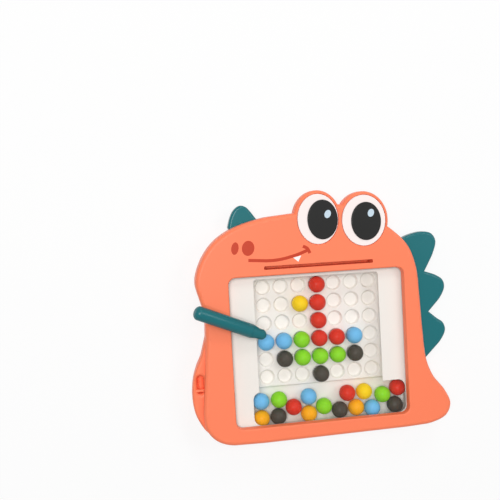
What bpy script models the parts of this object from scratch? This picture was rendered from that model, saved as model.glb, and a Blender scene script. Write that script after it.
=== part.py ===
"""Magnetic drawing board: a dinosaur-shaped case with beads under a clear window, and a pen.

Units are metres. The board lies on its back with +Z out of the window and +Y towards the head.
Plan places are worked out from the middle of the dimple field, and the whole board then hangs
on one empty, which puts the world's origin at the middle of the case's footprint.
"""

import math

import bmesh
import bpy
from mathutils import Matrix, Vector

# Clearance between pieces that touch or fit in each other
FIT = 0.0003

# Beads and the dimples that they sit in
BEAD_DIAMETER = 0.0118
BEAD_SPACING = 0.0012
COLUMNS = 7
ROWS = 6
DIMPLE_DIAMETER = 0.0108
DIMPLE_DEPTH = 0.0026
DIMPLE_SIDES = 12
BEAD_SIDES = 10
BEAD_RINGS = 7

# Bead tray
TRAY_SKIN = 0.0014
TRAY_WALL = 0.0014
TRAY_CORNER = 0.0060
FIELD_SIDE_MARGIN = 0.0015
FIELD_END_MARGIN = 0.0006
FIELD_CORNER = 0.0025
TROUGH_STEP = 0.0026
TROUGH_OVERHANG = 0.0045
TROUGH_SLACK = 0.0033
TROUGH_SIDE_GAP = 0.0004
TROUGH_CORNER = 0.0055
BEAD_HEADROOM = 0.0006
TRAY_LAND_LEFT = 0.0029
TRAY_LAND_TOP = 0.0018

# Window: its visible border left of the dimples and above them, and how far the lip covers the trough
BORDER_LEFT = 0.0191
BORDER_TOP = 0.0037
LIP_OVER_TROUGH_END = 0.0019
LIP_OVER_TROUGH_SIDE = 0.0029
WINDOW_CORNER = 0.0060
WINDOW_DRAFT = 0.0004
WINDOW_ROUND = 0.0010
WINDOW_REVEAL = 0.0048
WINDOW_RIM = 0.0026
SHEET_THICKNESS = 0.0015

# Case shells
SHELL_WALL = 0.0022
FRONT_SKIN = 0.0025
REAR_SKIN = 0.0020
SEAM_HEIGHT = 0.0100
FRONT_ROUND = 0.0030
REAR_STEP = 0.0010
REAR_ROUND = 0.0025
FENCE_HEIGHT = 0.0020
FENCE_WALL = 0.0014
OUTLINE_TURN = math.radians(10.0)
ROUND_STEPS = 3

# Eyes: half width and half height of each white and pupil
EYE_LEFT_WHITE = (0.0144, 0.0174)
EYE_RIGHT_WHITE = (0.0156, 0.0178)
EYE_LEFT_PUPIL = (0.0108, 0.0138)
EYE_RIGHT_PUPIL = (0.0108, 0.0134)
EYE_RIM = 0.0026
EYE_GAP = 0.0028
EYE_SEAT_DEPTH = 0.0015
EYE_BUMP_DEPTH = 0.0120
EYE_WHITE_THICKNESS = 0.0012
PUPIL_THICKNESS = 0.0006
EYE_SIDES = 32

# Slot that holds a pattern card upright above the window
CARD_SLOT_LENGTH = 0.0776
CARD_SLOT_WIDTH = 0.0016
CARD_SLOT_DEPTH = 0.0084
CARD_SLOT_ABOVE_WINDOW = 0.0045
CARD_SLOT_WALL = 0.0014

# Lowered step along the left hip, with the eyelet for a pen cord
HIP_DROP = 0.0055
HIP_ROUND = 0.0020
EYELET_WIDTH = 0.0048
EYELET_LENGTH = 0.0126
EYELET_DEPTH = 0.0050
EYELET_BAR = 0.0022

# Crest plates held in notches between the shells
CREST_THICKNESS = 0.0080
CREST_ROUND = 0.0024
FLANGE_THICKNESS = 0.0014
FLANGE_HEIGHT = 0.0108

# Screws from the rear
SCREW_SHANK = 0.0030
SCREW_HEAD = 0.0058
SCREW_HEAD_HEIGHT = 0.0024
SCREW_LENGTH = 0.0140
SCREW_SINK = 0.0008
BOSS_WALL = 0.0017
SCREW_SIDES = 10

# Pen
PEN_LENGTH = 0.0560
PEN_DIAMETER = 0.0101
PEN_WALL = 0.0013
NOSE_DIAMETER = 0.0074
NOSE_LENGTH = 0.0120
NOSE_TAPER = 0.0055
SPIGOT_LENGTH = 0.0060
MAGNET_DIAMETER = 0.0040
MAGNET_LENGTH = 0.0080
PEN_HEADING = math.radians(155.4)
PEN_SIDES = 14

# The picture in the dimples, row by row from the top: one letter for each colour, a dot where empty
PICTURE = (
    "...R...",
    "..YR...",
    "...R...",
    "BBGRRB.",
    ".DGGGD.",
    "...D...",
)
# Beads in the trough: colour, then place in bead steps right of and above the lower left bead
TROUGH_BEADS = (
    ("O", 0.00, 0.00), ("B", 0.02, 1.01), ("D", 1.01, 0.02), ("G", 1.09, 1.02),
    ("R", 1.95, 0.50), ("O", 2.86, 0.02), ("B", 2.89, 1.04), ("G", 3.80, 0.38),
    ("D", 4.76, 0.07), ("R", 5.27, 1.04), ("O", 5.77, 0.12), ("Y", 6.31, 1.04),
    ("B", 6.77, 0.00), ("G", 7.45, 0.76), ("D", 8.20, 0.07), ("R", 8.40, 1.09),
)
BEAD_COLOURS = {
    "R": ("red", "D93A29"),
    "Y": ("yellow", "FBCF1E"),
    "O": ("orange", "FDAE16"),
    "G": ("green", "7FD12F"),
    "B": ("blue", "6DB9EC"),
    "D": ("dark", "4A453D"),
}

# Heights, from the rear face up
TRAY_BOTTOM = REAR_SKIN + FIT
FIELD_FLOOR = TRAY_BOTTOM + TRAY_SKIN + max(DIMPLE_DEPTH, TROUGH_STEP)
TROUGH_FLOOR = FIELD_FLOOR - TROUGH_STEP
DIMPLE_FLOOR = FIELD_FLOOR - DIMPLE_DEPTH
SHEET_BOTTOM = FIELD_FLOOR + BEAD_DIAMETER + BEAD_HEADROOM
SHEET_TOP = SHEET_BOTTOM + SHEET_THICKNESS
TRAY_TOP = SHEET_BOTTOM - FIT
LIP_BOTTOM = SHEET_TOP + FIT
FRONT_FACE = SHEET_TOP + WINDOW_REVEAL
FRONT_INSIDE = FRONT_FACE - FRONT_SKIN
HIP_TOP = FRONT_FACE - HIP_DROP
EYELET_FLOOR = HIP_TOP - EYELET_DEPTH
REAR_SHELL_TOP = SEAM_HEIGHT - FIT / 2
FRONT_SHELL_BOTTOM = SEAM_HEIGHT + FIT / 2

# Plan of the tray and the window, from the middle of the dimple field
PITCH = BEAD_DIAMETER + BEAD_SPACING
BEAD_RADIUS = BEAD_DIAMETER / 2
BEAD_STEP = BEAD_DIAMETER + FIT
FIELD_RIGHT = COLUMNS * PITCH / 2 + FIELD_SIDE_MARGIN
FIELD_LEFT = -FIELD_RIGHT
FIELD_TOP = ROWS * PITCH / 2 + FIELD_END_MARGIN
FIELD_BOTTOM = -FIELD_TOP
TROUGH_LEFT = FIELD_LEFT - TROUGH_OVERHANG
TROUGH_LENGTH = max(x for _, x, _ in TROUGH_BEADS) * BEAD_STEP + BEAD_DIAMETER + 2 * TROUGH_SIDE_GAP
TROUGH_RIGHT = TROUGH_LEFT + TROUGH_LENGTH
TROUGH_BOTTOM = FIELD_BOTTOM - 2 * BEAD_STEP - TROUGH_SLACK
WINDOW_LEFT = FIELD_LEFT - BORDER_LEFT
WINDOW_RIGHT = max(TROUGH_RIGHT, FIELD_RIGHT + TRAY_WALL) - LIP_OVER_TROUGH_END
WINDOW_TOP = FIELD_TOP + BORDER_TOP
WINDOW_BOTTOM = TROUGH_BOTTOM + LIP_OVER_TROUGH_SIDE
TRAY_LEFT = WINDOW_LEFT - TRAY_LAND_LEFT
TRAY_RIGHT = WINDOW_RIGHT + LIP_OVER_TROUGH_END + TRAY_WALL
TRAY_TOP_EDGE = WINDOW_TOP + TRAY_LAND_TOP
TRAY_BOTTOM_EDGE = TROUGH_BOTTOM - TRAY_WALL


def top_left(dx, dy):
    """A place measured from the window's top left corner."""
    return WINDOW_LEFT + dx, WINDOW_TOP + dy


def top_right(dx, dy):
    """A place measured from the window's top right corner."""
    return WINDOW_RIGHT + dx, WINDOW_TOP + dy


def bottom_left(dx, dy):
    """A place measured from the window's bottom left corner."""
    return WINDOW_LEFT + dx, WINDOW_BOTTOM + dy


def bottom_right(dx, dy):
    """A place measured from the window's bottom right corner."""
    return WINDOW_RIGHT + dx, WINDOW_BOTTOM + dy


# Eyes: centre of the right white, how much higher the left one is, pupil offsets from their whites
EYE_RIGHT_CENTRE = top_right(-0.0283, 0.0334)
EYE_LEFT_RISE = 0.0027
EYE_LEFT_CENTRE = (
    EYE_RIGHT_CENTRE[0] - EYE_RIGHT_WHITE[0] - EYE_GAP - EYE_LEFT_WHITE[0],
    EYE_RIGHT_CENTRE[1] + EYE_LEFT_RISE,
)
PUPIL_LEFT_OFFSET = (0.0032, -0.0005)
PUPIL_RIGHT_OFFSET = (0.0015, -0.0006)

CARD_SLOT_FROM_RIGHT = 0.0231
CARD_SLOT_CENTRE = (
    WINDOW_RIGHT - CARD_SLOT_FROM_RIGHT - CARD_SLOT_LENGTH / 2,
    WINDOW_TOP + CARD_SLOT_ABOVE_WINDOW,
)
SCREW_PLACES = (
    top_left(-0.0099, -0.0033),
    bottom_left(-0.0129, 0.0092),
    bottom_right(0.0162, 0.0062),
    top_right(-0.0062, 0.0098),
    top_left(0.0361, 0.0267),
    top_right(-0.0448, 0.0207),
)

# The body's outline, anticlockwise from the brow: head, neck, straight left edge, foot, back
BODY_POINTS = (
    top_left(0.0481, 0.0409), top_left(0.0261, 0.0387), top_left(0.0061, 0.0329),
    top_left(-0.0079, 0.0239), top_left(-0.0169, 0.0117), top_left(-0.0214, -0.0023),
    top_left(-0.0191, -0.0147), top_left(-0.0163, -0.0253), top_left(-0.0163, -0.0373),
    bottom_left(-0.0181, 0.0440), bottom_left(-0.0209, 0.0120), bottom_left(-0.0195, 0.0026),
    bottom_left(-0.0138, -0.0050), bottom_left(-0.0051, -0.0094), bottom_left(0.0101, -0.0110),
    bottom_right(-0.0008, -0.0091), bottom_right(0.0172, -0.0076), bottom_right(0.0272, -0.0030),
    bottom_right(0.0307, 0.0052), bottom_right(0.0268, 0.0152), bottom_right(0.0186, 0.0262),
    bottom_right(0.0140, 0.0382), bottom_right(0.0120, 0.0562), top_right(0.0108, -0.0213),
    top_right(0.0088, -0.0003), top_right(0.0032, 0.0145), top_right(-0.0093, 0.0272),
    top_right(-0.0188, 0.0332), top_right(-0.0298, 0.0402), top_right(-0.0444, 0.0471),
    top_right(-0.0588, 0.0422),
)
# The hip's outline, which bulges past the body's straight left edge
HIP_POINTS = (
    top_left(-0.0025, -0.0374), top_left(-0.0090, -0.0344), top_left(-0.0150, -0.0382),
    top_left(-0.0179, -0.0462), bottom_left(-0.0205, 0.0524), bottom_left(-0.0243, 0.0444),
    bottom_left(-0.0265, 0.0370), bottom_left(-0.0278, 0.0262), bottom_left(-0.0267, 0.0148),
    bottom_left(-0.0235, 0.0066), bottom_left(-0.0185, -0.0006), bottom_left(-0.0121, -0.0044),
    bottom_left(-0.0061, -0.0030), bottom_left(-0.0031, 0.0050), bottom_left(-0.0015, 0.0340),
)
EYELET_CENTRE = bottom_left(-0.0219, 0.0336)

# The crest plates' free edges, anticlockwise: each run of points is one smooth curve
FIN_CURVES = (
    (
        top_right(0.0152, -0.0723), top_right(0.0302, -0.0573), top_right(0.0334, -0.0503),
        top_right(0.0318, -0.0450), top_right(0.0274, -0.0416), top_right(0.0213, -0.0363),
    ),
    (
        top_right(0.0213, -0.0363), top_right(0.0308, -0.0261), top_right(0.0342, -0.0187),
        top_right(0.0328, -0.0135), top_right(0.0278, -0.0098), top_right(0.0194, -0.0066),
    ),
    (
        top_right(0.0194, -0.0066), top_right(0.0266, 0.0066), top_right(0.0288, 0.0153),
        top_right(0.0258, 0.0209), top_right(0.0192, 0.0231), top_right(0.0092, 0.0221),
        top_right(-0.0008, 0.0185),
    ),
)
HORN_CURVES = (
    (
        top_left(0.0255, 0.0370), top_left(0.0206, 0.0439), top_left(0.0174, 0.0473),
        top_left(0.0133, 0.0484), top_left(0.0090, 0.0456), top_left(0.0061, 0.0406),
        top_left(0.0040, 0.0336),
    ),
)

# Pen: the middle of its round tip lies over the first dimple of the fourth row
PEN_TIP_OFFSET = (-0.0049, 0.0084)

CORAL = "FD8661"
TEAL = "2D737A"
TRAY_WHITE = "F3EEE6"
SHEET_CLEAR = "F6F8F8"
EYE_WHITE = "FCECEE"
PUPIL_BLACK = "2E2E2B"
STEEL = "A9ABAD"


def clear_scene():
    """Remove the scene's objects, so that only the board is left."""
    for thing in list(bpy.data.objects):
        bpy.data.objects.remove(thing, do_unlink=True)


def linear(code):
    """A colour written as six hex digits, as Blender's linear RGBA."""
    channels = []
    for start in (0, 2, 4):
        value = int(code[start:start + 2], 16) / 255
        channels.append(value / 12.92 if value <= 0.04045 else ((value + 0.055) / 1.055) ** 2.4)
    return (*channels, 1.0)


def material(name, code, roughness, metallic=0.0, transmission=0.0):
    """A plain Principled material, made once for each name."""
    found = bpy.data.materials.get(name)
    if found:
        return found
    made = bpy.data.materials.new(name)
    made.use_nodes = True
    shader = made.node_tree.nodes["Principled BSDF"]
    shader.inputs["Base Color"].default_value = linear(code)
    shader.inputs["Roughness"].default_value = roughness
    shader.inputs["Metallic"].default_value = metallic
    shader.inputs["Transmission Weight"].default_value = transmission
    made.diffuse_color = linear(code)
    return made


def smooth_curve(points, closed, steps=10):
    """Samples of a centripetal Catmull-Rom curve through the points."""
    spots = [Vector(point) for point in points]
    count = len(spots)
    spans = count if closed else count - 1
    samples = []
    for span in range(spans):
        if closed:
            four = [spots[(span + shift) % count] for shift in (-1, 0, 1, 2)]
        else:
            before = spots[span - 1] if span else 2 * spots[0] - spots[1]
            after = spots[span + 2] if span + 2 < count else 2 * spots[-1] - spots[-2]
            four = [before, spots[span], spots[span + 1], after]
        knots = [0.0]
        for first, second in zip(four, four[1:]):
            knots.append(knots[-1] + math.sqrt((second - first).length))
        for step in range(steps):
            at = knots[1] + (knots[2] - knots[1]) * step / steps
            level = list(four)
            for order in (1, 2):
                level = [
                    (level[i] * (knots[i + order] - at) + level[i + 1] * (at - knots[i]))
                    / (knots[i + order] - knots[i])
                    for i in range(len(level) - 1)
                ]
            weight = (at - knots[1]) / (knots[2] - knots[1])
            samples.append(level[0].lerp(level[1], weight))
    if not closed:
        samples.append(spots[-1])
    return samples


def thinned(samples, closed):
    """The samples with straight stretches thinned: one is kept at each OUTLINE_TURN of bend."""
    kept = [samples[0]]
    heading = samples[1] - samples[0]
    pairs = list(zip(samples[1:], samples[2:] + (samples[:1] if closed else [])))
    for here, ahead in pairs:
        turn = abs(heading.angle_signed(ahead - here, 0.0))
        if turn >= OUTLINE_TURN:
            kept.append(here)
            heading = ahead - here
    if not closed:
        kept.append(samples[-1])
    return kept


def closed_outline(points):
    """A smooth closed outline through the points."""
    return thinned(smooth_curve(points, closed=True), closed=True)


def ellipse(centre, half_width, half_height, sides=EYE_SIDES):
    """An ellipse's outline, anticlockwise."""
    turns = [math.tau * side / sides for side in range(sides)]
    middle = Vector(centre)
    return [middle + Vector((half_width * math.cos(t), half_height * math.sin(t))) for t in turns]


def rounded_rectangle(left, bottom, right, top, corner, steps=4):
    """A rectangle's outline with round corners, anticlockwise."""
    outline = []
    centres = (
        (right - corner, top - corner), (left + corner, top - corner),
        (left + corner, bottom + corner), (right - corner, bottom + corner),
    )
    for quarter, centre in enumerate(centres):
        for step in range(steps + 1):
            angle = math.pi / 2 * (quarter + step / steps)
            outline.append(Vector(centre) + corner * Vector((math.cos(angle), math.sin(angle))))
    return outline


def inset(outline, distance):
    """The outline moved inwards by a distance, point for point. A negative one moves it out."""
    count = len(outline)
    moved = []
    for index, here in enumerate(outline):
        along_in = (here - outline[index - 1]).normalized()
        along_out = (outline[(index + 1) % count] - here).normalized()
        normal_in = Vector((-along_in.y, along_in.x))
        normal_out = Vector((-along_out.y, along_out.x))
        across = (normal_in + normal_out).normalized()
        moved.append(here + across * (distance / max(across.dot(normal_in), 0.5)))
    return moved


def rounded_levels(bottom, top, bottom_round=0.0, top_round=0.0, steps=ROUND_STEPS):
    """Inset and height of each ring of a plate whose rims are rounded."""
    levels = []
    if bottom_round:
        for step in range(steps + 1):
            angle = math.pi / 2 * step / steps
            levels.append((
                bottom_round * (1 - math.sin(angle)),
                bottom + bottom_round * (1 - math.cos(angle)),
            ))
    else:
        levels.append((0.0, bottom))
    if top_round:
        for step in range(steps + 1):
            angle = math.pi / 2 * step / steps
            levels.append((
                top_round * (1 - math.cos(angle)),
                top - top_round * (1 - math.sin(angle)),
            ))
    else:
        levels.append((0.0, top))
    return levels


def plate(outline, levels, root=()):
    """A closed solid lofted through insets of an outline, lowest level first.

    Root points, if any, close the outline and aren't inset.
    """
    mesh = bmesh.new()
    rings = []
    whole = outline + list(root)
    count = len(whole)
    for distance, height in levels:
        ring = inset(whole, distance)[:len(outline)] + whole[len(outline):] if distance else whole
        rings.append([mesh.verts.new((spot.x, spot.y, height)) for spot in ring])
    for lower, upper in zip(rings, rings[1:]):
        for index in range(count):
            following = (index + 1) % count
            mesh.faces.new((lower[index], lower[following], upper[following], upper[index]))
    mesh.faces.new(list(reversed(rings[0])))
    mesh.faces.new(rings[-1])
    return mesh


def turned(profile, sides):
    """A closed solid turned about Z from (radius, height) points that start and end on the axis."""
    mesh = bmesh.new()
    rings = []
    for radius, height in profile:
        if radius == 0.0:
            rings.append([mesh.verts.new((0.0, 0.0, height))])
            continue
        ring = []
        for side in range(sides):
            angle = math.tau * side / sides
            ring.append(mesh.verts.new((radius * math.cos(angle), radius * math.sin(angle), height)))
        rings.append(ring)
    for lower, upper in zip(rings, rings[1:]):
        for side in range(sides):
            following = (side + 1) % sides
            corners = []
            for ring, index in ((lower, side), (lower, following), (upper, following), (upper, side)):
                corner = ring[index % len(ring)]
                if corner not in corners:
                    corners.append(corner)
            mesh.faces.new(corners)
    return mesh


def cylinder(radius, bottom, top, sides):
    """A closed upright cylinder about the origin's Z axis."""
    return turned([(0.0, bottom), (radius, bottom), (radius, top), (0.0, top)], sides)


def joined(meshes):
    """Several separate solids as one mesh."""
    whole = bmesh.new()
    for part in meshes:
        passed = bpy.data.meshes.new("passed")
        part.to_mesh(passed)
        part.free()
        whole.from_mesh(passed)
        bpy.data.meshes.remove(passed)
    return whole


def moved(mesh, x=0.0, y=0.0, z=0.0):
    """The same mesh, shifted."""
    bmesh.ops.translate(mesh, verts=mesh.verts, vec=(x, y, z))
    return mesh


def finish_mesh(name, mesh):
    """A Blender mesh with smooth round faces and sharp edges."""
    bmesh.ops.recalc_face_normals(mesh, faces=mesh.faces)
    data = bpy.data.meshes.new(name)
    mesh.to_mesh(data)
    mesh.free()
    data.shade_smooth()
    data.set_sharp_from_angle(angle=math.radians(35))
    return data


def place(name, data, parent, finish, location=(0.0, 0.0, 0.0)):
    """An object in the scene with its material."""
    thing = bpy.data.objects.new(name, data)
    bpy.context.scene.collection.objects.link(thing)
    thing.parent = parent
    thing.location = location
    if not data.materials:
        data.materials.append(finish)
    return thing


def shape_with(target, name, mesh, operation):
    """Join a hidden solid to a piece, or cut it out of the piece."""
    tool = bpy.data.objects.new(name, finish_mesh(name, mesh))
    bpy.context.scene.collection.objects.link(tool)
    tool.parent = target.parent
    tool.display_type = "WIRE"
    tool.hide_render = True
    step = target.modifiers.new(name, "BOOLEAN")
    step.operation = operation
    step.solver = "EXACT"
    step.object = tool


def column_x(column):
    """Middle of a dimple column, counted from the left."""
    return (column - (COLUMNS - 1) / 2) * PITCH


def row_y(row):
    """Middle of a dimple row, counted from the top."""
    return ((ROWS - 1) / 2 - row) * PITCH


def case_outlines():
    """Outlines that make up the case: body, hip and the two eye bumps."""
    bumps = []
    for centre, white in ((EYE_LEFT_CENTRE, EYE_LEFT_WHITE), (EYE_RIGHT_CENTRE, EYE_RIGHT_WHITE)):
        bumps.append(ellipse(centre, white[0] + EYE_RIM, white[1] + EYE_RIM))
    return closed_outline(BODY_POINTS), closed_outline(HIP_POINTS), bumps[0], bumps[1]


def nearest_place(outline, spot):
    """Where a closed outline passes nearest to a spot: the edge's number and the share along it."""
    places = []
    for index, here in enumerate(outline):
        edge = outline[(index + 1) % len(outline)] - here
        share = min(max((spot - here).dot(edge) / edge.length_squared, 0.0), 1.0)
        places.append(((here + edge * share - spot).length, index, share))
    return min(places)[1:]


def crest_outlines(body, curves):
    """A crest plate's free edge and root, and the outline of its flange inside the case's wall.

    The free edge is smooth curves. The root follows the body's outline inside the wall, from the
    curves' last point back to their first, and ends in the middle of the flange.
    """
    free = []
    for curve in curves:
        run = thinned(smooth_curve(curve, closed=False), closed=False)
        free += run if not free else run[1:]
    count = len(body)
    first_edge, first_share = nearest_place(body, free[0])
    last_edge, last_share = nearest_place(body, free[-1])

    def stretch(distance):
        """The body's outline moved inwards, from beside the free edge's first point to its last."""
        line = inset(body, distance)
        spots = [line[first_edge].lerp(line[(first_edge + 1) % count], first_share)]
        for step in range(1, (last_edge - first_edge) % count + 1):
            spots.append(line[(first_edge + step) % count])
        spots.append(line[last_edge].lerp(line[(last_edge + 1) % count], last_share))
        return spots

    behind_wall = REAR_STEP + SHELL_WALL + FIT
    root = stretch(behind_wall + FLANGE_THICKNESS / 2)[::-1]
    flange = stretch(behind_wall + FLANGE_THICKNESS)[::-1] + stretch(behind_wall)
    return free, root, flange


def build_front_shell(board, outlines, crests, coral):
    """Front casing: face, walls, window lip, eye seats, card slot, hip step and screw bosses."""
    body, hip, left_bump, right_bump = outlines
    bottom = FRONT_SHELL_BOTTOM
    shell = place("front_shell", finish_mesh("front_shell", plate(
        body, rounded_levels(bottom, FRONT_FACE, top_round=FRONT_ROUND))), board, coral)
    bump_bottom = FRONT_FACE - EYE_BUMP_DEPTH
    for name, bump in (("left", left_bump), ("right", right_bump)):
        levels = rounded_levels(bump_bottom, FRONT_FACE, FRONT_ROUND, FRONT_ROUND)
        shape_with(shell, f"{name}_eye_bump", plate(bump, levels), "UNION")
    hip_levels = rounded_levels(bottom, HIP_TOP, top_round=HIP_ROUND)
    shape_with(shell, "front_hip", plate(hip, hip_levels), "UNION")

    below = bottom - SHELL_WALL
    behind_bumps = bump_bottom + SHELL_WALL
    hollows = (
        ("front_body_hollow", body, below, FRONT_INSIDE),
        ("left_bump_hollow", left_bump, behind_bumps, FRONT_INSIDE),
        ("right_bump_hollow", right_bump, behind_bumps, FRONT_INSIDE),
        ("front_hip_hollow", hip, below, EYELET_FLOOR - SHELL_WALL),
    )
    for name, outline, low, high in hollows:
        shape_with(shell, name, plate(inset(outline, SHELL_WALL), [(0.0, low), (0.0, high)]), "DIFFERENCE")

    foot = WINDOW_DRAFT + WINDOW_ROUND
    opening = rounded_rectangle(
        WINDOW_LEFT + foot, WINDOW_BOTTOM + foot, WINDOW_RIGHT - foot, WINDOW_TOP - foot,
        WINDOW_CORNER - foot)
    buried = (FRONT_INSIDE + FRONT_FACE) / 2
    shape_with(shell, "window_rim", plate(
        inset(opening, -WINDOW_RIM), [(0.0, LIP_BOTTOM), (0.0, buried)]), "UNION")

    slot_x, slot_y = CARD_SLOT_CENTRE
    half = CARD_SLOT_LENGTH / 2
    slot = rounded_rectangle(
        slot_x - half, slot_y - CARD_SLOT_WIDTH / 2, slot_x + half, slot_y + CARD_SLOT_WIDTH / 2,
        CARD_SLOT_WIDTH / 2)
    slot_floor = FRONT_FACE - CARD_SLOT_DEPTH
    shape_with(shell, "card_pocket", plate(
        inset(slot, -CARD_SLOT_WALL), [(0.0, slot_floor - CARD_SLOT_WALL), (0.0, buried)]), "UNION")

    boss = SCREW_SHANK / 2 + FIT + BOSS_WALL
    shape_with(shell, "screw_bosses", joined([
        moved(cylinder(boss, bottom, buried, SCREW_SIDES), x, y) for x, y in SCREW_PLACES]), "UNION")

    past_front = FRONT_FACE + SHELL_WALL
    flare = [(0.0, LIP_BOTTOM - FIT), (0.0, LIP_BOTTOM), (-WINDOW_DRAFT, FRONT_FACE - WINDOW_ROUND)]
    for step in range(1, ROUND_STEPS + 1):
        angle = math.pi / 2 * step / ROUND_STEPS
        flare.append((
            -WINDOW_DRAFT - WINDOW_ROUND * (1 - math.cos(angle)),
            FRONT_FACE - WINDOW_ROUND * (1 - math.sin(angle)),
        ))
    flare.append((-foot, past_front))
    shape_with(shell, "window_cut", plate(opening, flare), "DIFFERENCE")
    shape_with(shell, "card_slot_cut", plate(slot, [(0.0, slot_floor), (0.0, past_front)]), "DIFFERENCE")

    seats = (
        ("left_eye_seat", EYE_LEFT_CENTRE, EYE_LEFT_WHITE),
        ("right_eye_seat", EYE_RIGHT_CENTRE, EYE_RIGHT_WHITE),
    )
    for name, centre, white in seats:
        seat = ellipse(centre, white[0] + FIT, white[1] + FIT)
        floor = FRONT_FACE - EYE_SEAT_DEPTH
        shape_with(shell, name, plate(seat, [(0.0, floor), (0.0, past_front)]), "DIFFERENCE")

    pilot_top = SCREW_SINK + SCREW_HEAD_HEIGHT + SCREW_LENGTH + FIT
    shape_with(shell, "pilot_holes", joined([
        moved(cylinder(SCREW_SHANK / 2 + FIT, below, pilot_top, SCREW_SIDES), x, y)
        for x, y in SCREW_PLACES]), "DIFFERENCE")

    eyelet_x, eyelet_y = EYELET_CENTRE
    pocket = rounded_rectangle(
        eyelet_x - EYELET_WIDTH / 2, eyelet_y - EYELET_LENGTH / 2,
        eyelet_x + EYELET_WIDTH / 2, eyelet_y + EYELET_LENGTH / 2, EYELET_WIDTH / 3)
    shape_with(shell, "eyelet_cut", plate(pocket, [(0.0, EYELET_FLOOR), (0.0, past_front)]), "DIFFERENCE")
    bar = cylinder(EYELET_BAR / 2, -EYELET_WIDTH / 2 - SHELL_WALL / 4, EYELET_WIDTH / 2 + SHELL_WALL / 4, 10)
    bmesh.ops.rotate(bar, verts=bar.verts, cent=(0, 0, 0), matrix=Matrix.Rotation(math.pi / 2, 3, "Y"))
    bar_y = eyelet_y - EYELET_LENGTH / 2 + 2 * EYELET_BAR
    moved(bar, eyelet_x, bar_y, HIP_TOP - EYELET_BAR / 2 - FIT)
    shape_with(shell, "eyelet_bar", bar, "UNION")
    cut_crest_notches(shell, "front", crests)


def cut_crest_notches(shell, side, crests):
    """Cut the notches that the crest plates pass through in a shell's wall."""
    for name, (free, root, _) in crests.items():
        reach = CREST_THICKNESS / 2 + FIT
        levels = [(0.0, SEAM_HEIGHT - reach), (0.0, SEAM_HEIGHT + reach)]
        shape_with(shell, f"{side}_{name}_notch", plate(inset(free + root, -FIT), levels), "DIFFERENCE")


def build_rear_shell(board, outlines, crests, coral):
    """Rear casing: back, walls, the fence round the tray and the posts that the screws pass."""
    top = REAR_SHELL_TOP
    body, hip = (inset(outline, REAR_STEP) for outline in outlines[:2])
    levels = rounded_levels(0.0, top, bottom_round=REAR_ROUND)
    shell = place("rear_shell", finish_mesh("rear_shell", plate(body, levels)), board, coral)
    shape_with(shell, "rear_hip", plate(hip, levels), "UNION")
    for name, outline in (("rear_body_hollow", body), ("rear_hip_hollow", hip)):
        levels = [(0.0, REAR_SKIN), (0.0, top + SHELL_WALL)]
        shape_with(shell, name, plate(inset(outline, SHELL_WALL), levels), "DIFFERENCE")

    buried = REAR_SKIN / 2
    fence_outer = tray_outline(-FIT - FENCE_WALL)
    fence_top = REAR_SKIN + FENCE_HEIGHT
    shape_with(shell, "fence", plate(fence_outer, [(0.0, buried), (0.0, fence_top)]), "UNION")
    shape_with(shell, "fence_inside", plate(
        tray_outline(-FIT), [(0.0, REAR_SKIN), (0.0, top)]), "DIFFERENCE")

    sunk = SCREW_HEAD / 2 + FIT
    post = sunk + BOSS_WALL / 2
    shape_with(shell, "screw_posts", joined([
        moved(cylinder(post, buried, top, SCREW_SIDES), x, y) for x, y in SCREW_PLACES]), "UNION")
    seat = SCREW_SINK + SCREW_HEAD_HEIGHT + FIT
    bore = SCREW_SHANK / 2 + FIT
    hole = [(0.0, -SHELL_WALL), (sunk, -SHELL_WALL), (sunk, seat), (bore, seat),
            (bore, top + SHELL_WALL), (0.0, top + SHELL_WALL)]
    shape_with(shell, "screw_holes", joined([
        moved(turned(hole, SCREW_SIDES), x, y) for x, y in SCREW_PLACES]), "DIFFERENCE")
    cut_crest_notches(shell, "rear", crests)


def tray_outline(distance):
    """The tray's outer outline, moved inwards by a distance."""
    return inset(rounded_rectangle(
        TRAY_LEFT, TRAY_BOTTOM_EDGE, TRAY_RIGHT, TRAY_TOP_EDGE, TRAY_CORNER), distance)


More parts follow.
